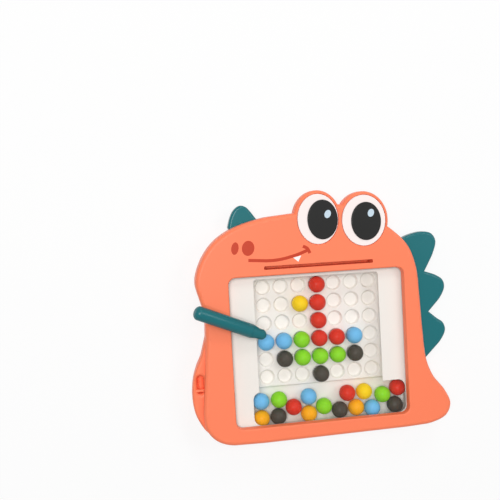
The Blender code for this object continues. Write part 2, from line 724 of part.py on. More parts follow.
def build_bead_tray(board, white):
    """White tray: its high border, the sunk field of dimples, and the trough."""
    tray = place("bead_tray", finish_mesh("bead_tray", plate(
        tray_outline(0.0), rounded_levels(TRAY_BOTTOM, TRAY_TOP))), board, white)
    past_top = TRAY_TOP + TRAY_WALL
    field = rounded_rectangle(
        FIELD_LEFT, FIELD_BOTTOM - TROUGH_SLACK, FIELD_RIGHT, FIELD_TOP, FIELD_CORNER, steps=3)
    shape_with(tray, "field_cut", plate(field, [(0.0, FIELD_FLOOR), (0.0, past_top)]), "DIFFERENCE")
    trough = rounded_rectangle(TROUGH_LEFT, TROUGH_BOTTOM, TROUGH_RIGHT, FIELD_BOTTOM, TROUGH_CORNER)
    shape_with(tray, "trough_cut", plate(trough, [(0.0, TROUGH_FLOOR), (0.0, past_top)]), "DIFFERENCE")

    places = [(column_x(column), row_y(row)) for row in range(ROWS) for column in range(COLUMNS)]
    shape_with(tray, "dimples", joined([
        moved(cylinder(DIMPLE_DIAMETER / 2, DIMPLE_FLOOR, FIELD_FLOOR + TRAY_WALL, DIMPLE_SIDES), x, y)
        for x, y in places]), "DIFFERENCE")

    underneath = TRAY_BOTTOM - TRAY_WALL
    pocket_levels = [(0.0, underneath), (0.0, TRAY_TOP - TRAY_SKIN)]
    left_pocket = rounded_rectangle(
        TRAY_LEFT + TRAY_WALL, TRAY_BOTTOM_EDGE + TRAY_WALL, TROUGH_LEFT - TRAY_WALL,
        TRAY_TOP_EDGE - TRAY_WALL, TRAY_CORNER - TRAY_WALL)
    right_pocket = rounded_rectangle(
        FIELD_RIGHT + TRAY_WALL, FIELD_BOTTOM + TRAY_WALL, TRAY_RIGHT - TRAY_WALL,
        TRAY_TOP_EDGE - TRAY_WALL, TRAY_CORNER - TRAY_WALL)
    shape_with(tray, "left_hollow", plate(left_pocket, pocket_levels), "DIFFERENCE")
    shape_with(tray, "right_hollow", plate(right_pocket, pocket_levels), "DIFFERENCE")


def build_window_sheet(board, clear):
    """Clear sheet clamped between the tray's border and the window lip."""
    mesh = plate(tray_outline(0.0), [(0.0, SHEET_BOTTOM), (0.0, SHEET_TOP)])
    place("window_sheet", finish_mesh("window_sheet", mesh), board, clear)


def build_crests(board, crests, teal):
    """Back fin and head horn: rounded plates with a flange behind the case's wall."""
    for name, (free, root, flange) in crests.items():
        half = CREST_THICKNESS / 2
        levels = rounded_levels(SEAM_HEIGHT - half, SEAM_HEIGHT + half, CREST_ROUND, CREST_ROUND)
        piece = place(name, finish_mesh(name, plate(free, levels, root)), board, teal)
        reach = FLANGE_HEIGHT / 2
        levels = [(0.0, SEAM_HEIGHT - reach), (0.0, SEAM_HEIGHT + reach)]
        shape_with(piece, f"{name}_flange", plate(flange, levels), "UNION")


def build_eyes(board, white, black):
    """Whites seated in the eye bumps, and pupils on the whites."""
    eyes = (
        ("left", EYE_LEFT_CENTRE, EYE_LEFT_WHITE, EYE_LEFT_PUPIL, PUPIL_LEFT_OFFSET),
        ("right", EYE_RIGHT_CENTRE, EYE_RIGHT_WHITE, EYE_RIGHT_PUPIL, PUPIL_RIGHT_OFFSET),
    )
    white_bottom = FRONT_FACE - EYE_SEAT_DEPTH + FIT
    white_top = white_bottom + EYE_WHITE_THICKNESS
    pupil_bottom = white_top + FIT
    pupil_top = pupil_bottom + PUPIL_THICKNESS
    for side, centre, white_size, pupil_size, offset in eyes:
        disc = plate(ellipse(centre, *white_size), [(0.0, white_bottom), (0.0, white_top)])
        place(f"eye_white_{side}", finish_mesh(f"eye_white_{side}", disc), board, white)
        pupil_centre = (centre[0] + offset[0], centre[1] + offset[1])
        pad = plate(ellipse(pupil_centre, *pupil_size), rounded_levels(
            pupil_bottom, pupil_top, top_round=PUPIL_THICKNESS / 2, steps=2))
        place(f"pupil_{side}", finish_mesh(f"pupil_{side}", pad), board, black)


def build_screws(board, steel):
    """Case screws, heads sunk in the rear shell."""
    head_top = SCREW_SINK + SCREW_HEAD_HEIGHT
    profile = [
        (0.0, SCREW_SINK), (SCREW_HEAD / 2 - SCREW_SINK / 2, SCREW_SINK),
        (SCREW_HEAD / 2, SCREW_SINK * 2), (SCREW_HEAD / 2, head_top),
        (SCREW_SHANK / 2, head_top), (SCREW_SHANK / 2, head_top + SCREW_LENGTH - SCREW_SHANK / 2),
        (0.0, head_top + SCREW_LENGTH),
    ]
    data = finish_mesh("case_screw", turned(profile, SCREW_SIDES))
    for number, (x, y) in enumerate(SCREW_PLACES, start=1):
        place(f"case_screw_{number}", data, board, steel, (x, y, 0.0))


def build_beads(board):
    """One bead for each filled dimple, and the loose beads in the trough."""
    meshes = {}
    for letter, (colour, code) in BEAD_COLOURS.items():
        ball = bmesh.new()
        bmesh.ops.create_uvsphere(ball, u_segments=BEAD_SIDES, v_segments=BEAD_RINGS, radius=BEAD_RADIUS)
        data = finish_mesh(f"bead_{colour}", ball)
        data.shade_smooth()
        data.materials.append(material(f"bead_{colour}", code, 0.28))
        meshes[letter] = data
    rest = DIMPLE_FLOOR + FIT + BEAD_RADIUS
    for row, letters in enumerate(PICTURE):
        for column, letter in enumerate(letters):
            if letter == ".":
                continue
            colour = BEAD_COLOURS[letter][0]
            name = f"bead_row{row + 1}_column{column + 1}_{colour}"
            place(name, meshes[letter], board, None, (column_x(column), row_y(row), rest))
    first_x = TROUGH_LEFT + TROUGH_SIDE_GAP + BEAD_RADIUS
    first_y = TROUGH_BOTTOM + TROUGH_SIDE_GAP + BEAD_RADIUS
    rest = TROUGH_FLOOR + FIT + BEAD_RADIUS
    for number, (letter, right, up) in enumerate(TROUGH_BEADS, start=1):
        colour = BEAD_COLOURS[letter][0]
        spot = (first_x + right * BEAD_STEP, first_y + up * BEAD_STEP, rest)
        place(f"trough_bead_{number:02d}_{colour}", meshes[letter], board, None, spot)


def pen_slope():
    """Tilt of a pen whose tip rests on the sheet and whose barrel rests on the window's left rim."""
    tip_height = SHEET_TOP + FIT + NOSE_DIAMETER / 2
    rim_x = WINDOW_LEFT
    rim_height = FRONT_FACE - WINDOW_ROUND
    across = column_x(0) + PEN_TIP_OFFSET[0] - rim_x
    above = tip_height - rim_height
    reach = PEN_DIAMETER / 2 + WINDOW_ROUND + FIT
    across_slope = math.asin(reach / math.hypot(across, above)) - math.atan2(above, across)
    return math.atan(math.tan(across_slope) * abs(math.cos(PEN_HEADING)))


def build_pen(board, teal, steel):
    """Pen: hollow barrel, a nose with a spigot in the barrel, and the magnet inside the nose.

    The three pieces hang on one empty at the middle of the pen's round tip, with +Z up the barrel.
    """
    grip = bpy.data.objects.new("pen_axis", None)
    bpy.context.scene.collection.objects.link(grip)
    grip.parent = board
    grip.location = (
        column_x(0) + PEN_TIP_OFFSET[0], row_y(3) + PEN_TIP_OFFSET[1],
        SHEET_TOP + FIT + NOSE_DIAMETER / 2)
    grip.rotation_euler = (0.0, math.pi / 2 - pen_slope(), PEN_HEADING)

    tip = NOSE_DIAMETER / 2
    barrel = PEN_DIAMETER / 2
    bore = barrel - PEN_WALL
    spigot = bore - FIT
    pocket = MAGNET_DIAMETER / 2 + FIT
    shoulder = NOSE_LENGTH - tip
    mouth = shoulder + FIT
    tail = PEN_LENGTH - tip
    quarter = [math.pi / 2 * step / 4 for step in range(5)]

    nose_profile = [(tip * math.sin(a), -tip * math.cos(a)) for a in quarter]
    nose_profile[0] = (0.0, -tip)
    nose_profile += [(tip, shoulder - NOSE_TAPER), (barrel, shoulder), (spigot, shoulder)]
    nose_profile += [(spigot, shoulder + SPIGOT_LENGTH), (pocket, shoulder + SPIGOT_LENGTH)]
    nose_profile += [(pocket, 0.0), (0.0, 0.0)]
    place("pen_nose", finish_mesh("pen_nose", turned(nose_profile, PEN_SIDES)), grip, teal)

    magnet = cylinder(MAGNET_DIAMETER / 2, FIT, FIT + MAGNET_LENGTH, SCREW_SIDES)
    place("pen_magnet", finish_mesh("pen_magnet", magnet), grip, steel)

    barrel_profile = [(0.0, tail - barrel), (bore, tail - barrel), (bore, mouth), (barrel, mouth)]
    barrel_profile += [
        (barrel * math.cos(a), tail - barrel + barrel * math.sin(a)) for a in quarter[:-1]]
    barrel_profile.append((0.0, tail))
    place("pen_barrel", finish_mesh("pen_barrel", turned(barrel_profile, PEN_SIDES)), grip, teal)


def main():
    """Build the board."""
    clear_scene()
    outlines = case_outlines()
    crests = {
        "back_fin": crest_outlines(outlines[0], FIN_CURVES),
        "head_horn": crest_outlines(outlines[0], HORN_CURVES),
    }
    spots = [spot for outline in outlines for spot in outline]
    spots += [spot for free, _, _ in crests.values() for spot in free]
    middle_x = (min(spot.x for spot in spots) + max(spot.x for spot in spots)) / 2
    middle_y = (min(spot.y for spot in spots) + max(spot.y for spot in spots)) / 2
    board = bpy.data.objects.new("board", None)
    bpy.context.scene.collection.objects.link(board)
    board.location = (-middle_x, -middle_y, 0.0)

    coral = material("coral_plastic", CORAL, 0.42)
    teal = material("teal_plastic", TEAL, 0.40)
    steel = material("bright_steel", STEEL, 0.30, metallic=1.0)
    build_front_shell(board, outlines, crests, coral)
    build_rear_shell(board, outlines, crests, coral)
    build_bead_tray(board, material("tray_plastic", TRAY_WHITE, 0.45))
    build_window_sheet(board, material("clear_sheet", SHEET_CLEAR, 0.05, transmission=0.95))
    build_crests(board, crests, teal)
    build_eyes(board, material("eye_white", EYE_WHITE, 0.35), material("pupil_black", PUPIL_BLACK, 0.30))
    build_screws(board, steel)
    build_beads(board)
    build_pen(board, teal, steel)


if __name__ == "__main__":
    main()
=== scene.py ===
"""Looks of a magnetic drawing board: fine casings, tray, beads, eyes and pen, and their finishes.

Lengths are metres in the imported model's frame. The board lies on its back, with +Z out of the
window and +Y towards the head. Plan places are measured from the window's corners.
"""

import random
from math import asin, atan, atan2, cos, hypot, pi, radians, sin, sqrt, tan, tau

import bmesh
import bpy
from bpy.props import FloatProperty, FloatVectorProperty, IntProperty, PointerProperty
from mathutils import Euler, Matrix, Vector


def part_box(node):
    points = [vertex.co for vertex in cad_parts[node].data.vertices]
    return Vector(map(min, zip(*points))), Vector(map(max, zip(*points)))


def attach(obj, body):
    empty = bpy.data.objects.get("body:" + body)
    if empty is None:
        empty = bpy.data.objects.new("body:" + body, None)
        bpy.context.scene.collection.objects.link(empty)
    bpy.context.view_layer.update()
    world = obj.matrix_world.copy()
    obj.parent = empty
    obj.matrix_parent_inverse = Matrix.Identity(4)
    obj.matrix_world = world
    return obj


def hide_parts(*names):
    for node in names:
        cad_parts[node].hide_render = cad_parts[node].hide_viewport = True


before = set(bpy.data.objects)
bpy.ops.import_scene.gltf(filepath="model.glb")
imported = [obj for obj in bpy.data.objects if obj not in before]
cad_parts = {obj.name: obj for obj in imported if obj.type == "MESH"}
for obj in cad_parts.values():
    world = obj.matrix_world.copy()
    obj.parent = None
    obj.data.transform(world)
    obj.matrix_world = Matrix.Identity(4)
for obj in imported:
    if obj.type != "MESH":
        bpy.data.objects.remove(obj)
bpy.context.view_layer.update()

bl_info = {
    "name": "Magnetic drawing board",
    "version": (1, 0, 0),
    "blender": (4, 5, 0),
    "location": "3D View > Sidebar > Board",
    "description": "Fine pieces and finishes for a child's magnetic drawing board",
    "category": "Object",
}

# Clearance between pieces that touch or fit in each other
FIT = 0.0003

# Tray: its land beside the window's edge, walls, and what the lip covers of the trough
TRAY_LAND_LEFT = 0.0029
TRAY_LAND_TOP = 0.0018
TRAY_WALL = 0.0014
TRAY_SKIN = 0.0014
TRAY_CORNER = 0.006
LIP_OVER_TROUGH_END = 0.0019
LIP_OVER_TROUGH_SIDE = 0.0029

# The tray's field of dimples, its trough, and how far the tray's top reaches over them
COLUMNS = 7
ROWS = 6
FIELD_SIDE_MARGIN = 0.0015
FIELD_END_MARGIN = 0.0006
FIELD_CORNER = 0.0025
FIELD_FILLET = 0.0018
TROUGH_OVERHANG = 0.0045
TROUGH_SLACK = 0.0033
TROUGH_CORNER = 0.0055
RIM_BELOW_TROUGH = 0.0036
RIM_BESIDE_TROUGH = 0.0031
RIM_BESIDE_FIELD = 0.0041
RIM_THICKNESS = 0.0005
DIMPLE_DEPTH = 0.0026
DIMPLE_SLOPE = radians(70)

# Window opening in the front casing
WINDOW_CORNER = 0.006
WINDOW_DRAFT = 0.0004
WINDOW_ROUND = 0.001
WINDOW_RIM = 0.0026

# Casing walls and edges
SHELL_WALL = 0.0022
FRONT_SKIN = 0.0025
REAR_SKIN = 0.002
FRONT_ROUND = 0.003
REAR_STEP = 0.001
REAR_ROUND = 0.0025
SEAM_ROUND = 0.0003
FENCE_HEIGHT = 0.002
FENCE_WALL = 0.0014
BOSS_WALL = 0.0017

# Eyes
EYE_RIM = 0.0026
EYE_SEAT_DEPTH = 0.0015
EYE_BUMP_DEPTH = 0.012
EYE_GAP = 0.0004
PUPIL_ROUND_SHARE = 0.7

# Card slot above the window, and its end's place from the window's top right corner
SLOT_END = 0.0231
SLOT_RISE = 0.0045
SLOT_LENGTH = 0.0776
SLOT_WIDTH = 0.0024
SLOT_DEPTH = 0.0125
SLOT_WALL = 0.0014
SLOT_CORNER = SLOT_WIDTH / 3

# Step along the left hip, and its eyelet
HIP_DROP = 0.0055
HIP_ROUND = 0.002
EYELET_WIDTH = 0.0048
EYELET_LENGTH = 0.0126
EYELET_DEPTH = 0.007
EYELET_CORNER = EYELET_WIDTH / 2.1
EYELET_BAR = 0.0022
EYELET_FLARE = 0.0023

# Crest plates
CREST_THICKNESS = 0.008
CREST_ROUND = 0.002
FLANGE_THICKNESS = 0.0014
FLANGE_HEIGHT = 0.0108

# Screws
SCREW_SHANK = 0.003
SCREW_HEAD = 0.0058
SCREW_HEAD_HEIGHT = 0.0024
SCREW_LENGTH = 0.014
SCREW_SINK = 0.0008
SCREW_SEAT = SCREW_SINK + SCREW_HEAD_HEIGHT
SCREW_BORE = SCREW_SHANK / 2 + FIT

# Pen
PEN_LENGTH = 0.0554
PEN_DIAMETER = 0.0097
PEN_TAIL_ROUND = 0.0034
PEN_WALL = 0.0013
NOSE_DIAMETER = 0.0074
NOSE_LENGTH = 0.012
NOSE_TAPER = 0.0055
TIP = NOSE_DIAMETER / 2
BARREL = PEN_DIAMETER / 2
SHOULDER = NOSE_LENGTH - TIP
PEN_EDGE = FIT / 2
SPIGOT_LENGTH = 0.006
MAGNET_DIAMETER = 0.004
PEN_HEADING = radians(155.4)
PEN_TIP_OFFSET = (-0.0054, 0.0087)
MAGNET_ROOM = 0.0011

# Beads: the gate mark's share of the radius, and how far a bead may lean either way
BEAD_GATE_SHARE = 1 / 11
BEAD_LEAN = 0.35

# Stage: place and size of each lamp, place and turn of the camera, half width of the floor
LAMPS = {
    "key": ((0.2, 1.00, 0.85), 0.35),
    "side": ((0.69, 0.3, 0.97), 0.45),
    "fill": ((-0.36, 0.25, 1.38), 0.6),
}
CAMERA_PLACE = (-0.11601, 0.07389, 0.49475)
CAMERA_TURN = [radians(angle) for angle in (-2.5913, -8.2088, -3.2677)]
SENSOR_WIDTH = 36.0
FLOOR_REACH = 3.0
WHITE = (1.0, 1.0, 1.0, 1.0)

# How finely the pieces are drawn, and the bend in degrees from which an edge is sharp
OUTLINE_TURN = radians(2.5)
SHARPEST_CORNER = 0.5
CURVE_STEPS = 24
CORNER_STEPS = 12
EDGE_STEPS = 8
BEAD_STEPS = 18
ROUND_SIDES = 64
BEAD_SIDES = 48
SCREW_SIDES = 32
POST_SIDES = 24
SHARP = 35.0


def middle(node):
    """The middle of a node's box."""
    low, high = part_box(node)
    return (low + high) / 2


def heights(node):
    """The lowest and highest height of a node's box."""
    return [corner.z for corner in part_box(node)]


# Places and heights that the frame gives
SIDES = ("left", "right")
TRAY_LOW, TRAY_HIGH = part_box("bead_tray")
SHEET_TOP = heights("window_sheet")[1]
FRONT_FOOT, FACE = heights("front_shell")
REAR_TOP = heights("rear_shell")[1]
SEAM = (FRONT_FOOT + REAR_TOP) / 2
FRONT_INSIDE = FACE - FRONT_SKIN
LIP_BOTTOM = SHEET_TOP + FIT
HIP_TOP = FACE - HIP_DROP
EYELET_FLOOR = HIP_TOP - EYELET_DEPTH
WINDOW_LEFT = TRAY_LOW.x + TRAY_LAND_LEFT
WINDOW_RIGHT = TRAY_HIGH.x - TRAY_WALL - LIP_OVER_TROUGH_END
WINDOW_TOP = TRAY_HIGH.y - TRAY_LAND_TOP
WINDOW_BOTTOM = TRAY_LOW.y + TRAY_WALL + LIP_OVER_TROUGH_SIDE
FIRST_BEAD = middle("bead_row1_column4_red")
PITCH = middle("bead_row4_column2_blue").x - middle("bead_row4_column1_blue").x
TROUGH_BEAD_LOW, TROUGH_BEAD_HIGH = heights("trough_bead_01_orange")
BEAD_RADIUS = (TROUGH_BEAD_HIGH - TROUGH_BEAD_LOW) / 2
FIELD_X = FIRST_BEAD.x
FIELD_Y = FIRST_BEAD.y - (ROWS - 1) / 2 * PITCH
DIMPLE_FLOOR = heights("bead_row1_column4_red")[0] - FIT
TROUGH_FLOOR = TROUGH_BEAD_LOW - FIT
FIELD_FLOOR = DIMPLE_FLOOR + DIMPLE_DEPTH
FIELD_LEFT = FIELD_X - COLUMNS * PITCH / 2 - FIELD_SIDE_MARGIN
FIELD_RIGHT = FIELD_X + COLUMNS * PITCH / 2 + FIELD_SIDE_MARGIN
FIELD_TOP = FIELD_Y + ROWS * PITCH / 2 + FIELD_END_MARGIN
FIELD_BOTTOM = FIELD_Y - ROWS * PITCH / 2 - FIELD_END_MARGIN
SCREW_PLACES = [middle(f"case_screw_{number}").xy for number in range(1, 7)]

TOP_LEFT = (WINDOW_LEFT, WINDOW_TOP)
TOP_RIGHT = (WINDOW_RIGHT, WINDOW_TOP)
BOTTOM_LEFT = (WINDOW_LEFT, WINDOW_BOTTOM)
BOTTOM_RIGHT = (WINDOW_RIGHT, WINDOW_BOTTOM)
# Tenths of a millimetre in a metre
TENTHS = 10000


def spots(corner, *offsets):
    """Places in the plan, in tenths of a millimetre from one of the window's corners."""
    return [Vector((corner[0] + x / TENTHS, corner[1] + y / TENTHS)) for x, y in offsets]


# The body's outline, anticlockwise from the brow: head, neck, straight left edge, foot, back
BODY_POINTS = (
    *spots(TOP_LEFT, (481, 409), (261, 387), (61, 329), (-79, 239), (-169, 117), (-214, -23),
           (-191, -147), (-163, -253), (-163, -373)),
    *spots(BOTTOM_LEFT, (-181, 440), (-209, 120), (-195, 26), (-138, -50), (-51, -92), (101, -102)),
    *spots(BOTTOM_RIGHT, (-8, -91), (172, -76), (272, -30), (307, 52), (268, 152), (186, 262),
           (140, 382), (120, 562)),
    *spots(TOP_RIGHT, (108, -213), (88, -3), (32, 145), (-93, 272), (-188, 332), (-298, 402),
           (-444, 455), (-588, 422)),
)
# The hip's outline, which bulges past the body's straight left edge
HIP_POINTS = (
    *spots(TOP_LEFT, (-25, -374), (-90, -344), (-150, -382), (-179, -462)),
    *spots(BOTTOM_LEFT, (-205, 524), (-243, 444), (-265, 370), (-277, 262), (-267, 148), (-235, 66),
           (-185, -6), (-121, -44), (-61, -30), (-31, 50), (-15, 340)),
)
EYELET_CENTRE, = spots(BOTTOM_LEFT, (-219, 336))
SLOT_CENTRE = Vector((WINDOW_RIGHT - SLOT_END - SLOT_LENGTH / 2, WINDOW_TOP + SLOT_RISE))

# The crest plates' free edges, anticlockwise: each run of points is one smooth curve
CREST_CURVES = {
    "back_fin": (
        spots(TOP_RIGHT, (152, -723), (302, -573), (334, -503), (318, -450), (274, -416), (213, -363)),
        spots(TOP_RIGHT, (213, -363), (308, -261), (341, -187), (328, -135), (278, -98), (194, -66)),
        spots(TOP_RIGHT, (194, -66), (266, 66), (288, 153), (258, 207), (192, 225), (92, 209),
              (-8, 168)),
    ),
    "head_horn": (
        spots(TOP_LEFT, (255, 370), (206, 439), (174, 473), (133, 484), (90, 456), (61, 406),
              (40, 336)),
    ),
}

# Printed face: nostrils with half width and half height, mouth line, its corner, a tooth
NOSTRILS = (
    ("left", *spots(TOP_LEFT, (68, 193)), 0.0025, 0.0043),
    ("right", *spots(TOP_LEFT, (159, 189)), 0.0043, 0.0052),
)
NOSTRIL_TILT = radians(-11)
MOUTH_CURVE = spots(TOP_LEFT, (156, 106), (291, 95), (375, 98), (492, 122), (587, 155))
MOUTH_CORNER = spots(TOP_LEFT, (542, 180), (572, 162), (589, 129))
MOUTH_WIDTH = 0.0022
TOOTH_CORNERS = spots(TOP_LEFT, (469, 105), (504, 74), (526, 116))
INK = 0.00006
GLINTS = (("left", (0.0036, 0.0036), 0.0022, 0.0029), ("right", (0.0035, 0.0055), 0.0022, 0.0028))
GLINT_TILT = radians(-24)


def linear(code):
    """A colour written as six hex digits, as Blender's linear RGB."""
    values = [int(code[start:start + 2], 16) / 255 for start in (0, 2, 4)]
    return [v / 12.92 if v <= 0.04045 else ((v + 0.055) / 1.055) ** 2.4 for v in values]


def colour(thing, code):
    """A setting that holds the colour of a thing, given as six hex digits."""
    return FloatVectorProperty(
        name=thing.capitalize(), description=f"Colour of the {thing}", subtype="COLOR",
        default=linear(code))


def amount(name, description, default, unit="LENGTH"):
    """A setting that holds a number with a unit."""
    return FloatProperty(name=name, description=description, unit=unit, default=default)


class BoardColours(bpy.types.PropertyGroup):
    """Colours of the board's plastics."""

    coral: colour("casing", "FF835C")
    teal: colour("fin, horn and pen", "0A6A71")
    tray: colour("tray", "F4EFE8")
    eye: colour("eye whites", "FBEEEB")
    pupil: colour("pupils", "0E0E0D")
    glint: colour("glints on the pupils", "C6D9E6")
    print_tone: colour("nostrils and mouth", "C43A18")
    red: colour("red beads", "DF3017")
    yellow: colour("yellow beads", "FFD604")
    orange: colour("orange beads", "FFB100")
    green: colour("green beads", "8CDD1E")
    blue: colour("blue beads", "71BEEE")
    dark: colour("dark beads", "494339")


class BoardSizes(bpy.types.PropertyGroup):
    """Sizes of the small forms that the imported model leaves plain."""

    tray_edge: amount("Tray edge", "Round along the upper edge of the tray's walls", 0.0008)
    tray_fillet: amount("Tray fillet", "Fillet where the tray's walls meet its floors", 0.0014)
    dimple_flat: amount("Dimple floor", "Radius of the flat floor in each dimple", 0.004)
    dimple_fillet: amount("Dimple fillet", "Fillet round each dimple's floor", 0.0009)
    dimple_rim: amount("Dimple rim", "Round on each dimple's rim", 0.0006)
    slot_edge: amount("Slot edge", "Round on the card slot's edge", 0.0002)
    bead_groove: amount("Bead groove", "Depth of the parting line round each bead", 0.00006)
    bead_seed: IntProperty(
        name="Bead turn", description="Seed of the turn that each bead lies at", default=7)


class StageSettings(bpy.types.PropertyGroup):
    """Light, floor and camera."""

    key_power: amount("Key", "Power of the soft lamp beyond the head", 2.5, "POWER")
    side_power: amount("Side", "Power of the soft lamp beyond the fin", 2.5, "POWER")
    fill_power: amount("Fill", "Power of the lamp beside the camera", 12.0, "POWER")
    sky: amount("Sky", "Strength of the even light", 0.26, "NONE")
    lens: amount("Lens", "Focal length in millimetres", 50.0, "CAMERA")


def sums(operation, reflected=False):
    """A method of a value that adds a Math node for it and another value or number."""
    def method(self, other):
        first, second = (other, self) if reflected else (self, other)
        return self.finish.node("Math", {0: first, 1: second}, operation=operation)
    return method


class Value:
    """A shader socket that takes part in sums."""

    def __init__(self, finish, socket):
        self.finish = finish
        self.socket = socket

    __add__, __radd__ = sums("ADD"), sums("ADD", reflected=True)
    __sub__, __rsub__ = sums("SUBTRACT"), sums("SUBTRACT", reflected=True)
    __mul__, __rmul__ = sums("MULTIPLY"), sums("MULTIPLY", reflected=True)


class Shading:
    """A node tree, whose nodes all come from one method."""

    def __init__(self, tree):
        self.tree = tree

    def node(self, kind, inputs, output=0, **settings):
        """A node's output: its settings are set first, then the values or links of its sockets."""
        made = self.tree.nodes.new("ShaderNode" + kind)
        for name, setting in settings.items():
            setattr(made, name, setting)
        self.feed(made, inputs)
        return Value(self, made.outputs[output])

    def feed(self, node, inputs):
        """Link or set a node's sockets."""
        for name, value in inputs.items():
            if isinstance(value, Value):
                self.tree.links.new(value.socket, node.inputs[name])
            else:
                node.inputs[name].default_value = value

    def backdrop(self):
        """1 where the backdrop is seen: by the camera, in a reflection or through a clear piece."""
        seen = [
            self.node("LightPath", {}, kind)
            for kind in ("Is Camera Ray", "Is Glossy Ray", "Is Transmission Ray")]
        both = seen[0] + seen[1]
        return self.node("Math", {0: both, 1: seen[2]}, operation="ADD", use_clamp=True)


class Finish(Shading):
    """A material's node tree."""

    def __init__(self, name):
        self.material = bpy.data.materials.new(name)
        self.material.use_nodes = True
        super().__init__(self.material.node_tree)
        self.surface = self.tree.nodes["Principled BSDF"]

    def noise(self, scale, detail=2.0, roughness=0.5):
        """Soft noise from 0 to 1 over the piece, with that many cells in a metre."""
        place = self.node("TexCoord", {}, "Object")
        return self.node("TexNoise", {
            "Vector": place, "Scale": scale, "Detail": detail, "Roughness": roughness})

    def blend(self, share, first, second):
        """Two colours mixed by a share."""
        return self.node(
            "Mix", {0: share, 6: (*first, 1.0), 7: (*second, 1.0)}, 2, data_type="RGBA")

    def shades(self, share, tone, darkest, lightest):
        """A colour made darker and lighter by factors, mixed by a share."""
        return self.blend(share, *(
            [min(channel * factor, 1.0) for channel in tone] for factor in (darkest, lightest)))

    def bump(self, height, strength, depth):
        """A normal bent by a height."""
        return self.node("Bump", {"Height": height, "Strength": strength, "Distance": depth})

    def surface_of(self, inputs):
        """Set or link the surface shader's sockets, and give the material."""
        self.feed(self.surface, inputs)
        return self.material


def moulded_plastic(name, tone, roughness, grain=0.1):
    """Satin plastic from a spark-eroded mould: faint flow tone, uneven gloss and a fine grain."""
    made = Finish(name)
    flow = made.noise(22.0, detail=3.0)
    grains = made.noise(2600.0, detail=2.0, roughness=0.6)
    patches = made.noise(140.0, detail=4.0)
    return made.surface_of({
        "Base Color": made.shades(flow, tone, 0.975, 1.015),
        "Roughness": roughness + 0.1 * (patches - 0.5) + 0.06 * (grains - 0.5),
        "Specular IOR Level": 0.3,
        "Normal": made.bump(grains + 0.35 * patches, grain, 0.00004),
    })


def bead_plastic(name, tone):
    """Smooth plastic of a bead: a slightly cloudy tone and faint handling marks in the gloss."""
    made = Finish(name)
    cloud = made.noise(190.0, detail=3.0)
    marks = made.noise(900.0, detail=5.0, roughness=0.65)
    return made.surface_of({
        "Base Color": made.shades(cloud, tone, 0.95, 1.03),
        "Roughness": 0.24 + 0.12 * (marks - 0.4),
        "Specular IOR Level": 0.09,
        "Normal": made.bump(cloud, 0.06, 0.0001),
    })


def glossy_plate(name, tone, roughness):
    """Polished plastic plate with the slight waviness of a moulded face."""
    made = Finish(name)
    wave = made.noise(160.0, detail=2.0)
    marks = made.noise(1500.0, detail=4.0)
    return made.surface_of({
        "Base Color": made.shades(wave, tone, 0.98, 1.01),
        "Roughness": roughness + 0.08 * (marks - 0.5),
        "Specular IOR Level": 0.25,
        "Normal": made.bump(wave, 0.05, 0.0001),
    })


def printed_ink(name, tone):
    """Pad-printed ink: even colour with a faint mottle and the casing's satin."""
    made = Finish(name)
    mottle = made.noise(1300.0, detail=3.0)
    return made.surface_of({
        "Base Color": made.shades(mottle, tone, 0.93, 1.05),
        "Roughness": 0.42 + 0.1 * (mottle - 0.5),
        "Specular IOR Level": 0.3,
        "Normal": made.bump(mottle, 0.05, 0.00003),
    })


def clear_pane(name):
    """Clear sheet: it lets everything through but what its polished faces reflect."""
    made = Finish(name)
    smears = made.noise(60.0, detail=4.0, roughness=0.6)
    return made.surface_of({
        "Base Color": (0.45, 0.47, 0.47, 1.0),
        "Roughness": 0.05 + 0.06 * smears,
        "Alpha": 0.02,
    })


def zinc_steel(name):
    """Zinc-plated steel with a fine uneven polish."""
    made = Finish(name)
    polish = made.noise(1100.0, detail=4.0, roughness=0.7)
    return made.surface_of({
        "Base Color": made.blend(polish, linear("9A9C9E"), linear("C9CBCD")),
        "Metallic": 1.0,
        "Roughness": 0.24 + 0.2 * polish,
        "Normal": made.bump(polish, 0.1, 0.00003),
    })


def finish_for(slot):
    """The material of a slot, made once."""
    name = "finish_" + slot
    found = bpy.data.materials.get(name)
    if found:
        return found
    colours = bpy.context.scene.board_colours
    if slot.startswith("bead_"):
        return bead_plastic(name, getattr(colours, slot.removeprefix("bead_")))
    maker, *inputs = {
        "coral_plastic": (moulded_plastic, colours.coral, 0.42),
        "teal_plastic": (moulded_plastic, colours.teal, 0.25, 0.05),
        "tray_plastic": (moulded_plastic, colours.tray, 0.46, 0.08),
        "clear_sheet": (clear_pane,),
        "eye_white": (glossy_plate, colours.eye, 0.3),
        "pupil_black": (glossy_plate, colours.pupil, 0.34),
        "eye_glint": (printed_ink, colours.glint),
        "face_print": (printed_ink, colours.print_tone),
        "tooth_print": (printed_ink, (0.94, 0.93, 0.92)),
        "bright_steel": (zinc_steel,),
    }[slot]
    return maker(name, *inputs)


def smooth_curve(points, closed):
    """Samples of a centripetal Catmull-Rom curve through the points."""
    padded = [2 * points[0] - points[1], *points, 2 * points[-1] - points[-2]]
    if closed:
        padded = [points[-1], *points, *points[:2]]
    samples = []
    for four in zip(padded, padded[1:], padded[2:], padded[3:]):
        knots = [0.0]
        for first, second in zip(four, four[1:]):
            knots.append(knots[-1] + sqrt((second - first).length))
        for step in range(CURVE_STEPS):
            at = knots[1] + (knots[2] - knots[1]) * step / CURVE_STEPS
            level = four
            for order in (1, 2):
                level = [
                    (level[i] * (knots[i + order] - at) + level[i + 1] * (at - knots[i]))
                    / (knots[i + order] - knots[i])
                    for i in range(len(level) - 1)
                ]
            samples.append(level[0].lerp(level[1], (at - knots[1]) / (knots[2] - knots[1])))
    return samples if closed else samples + [points[-1]]


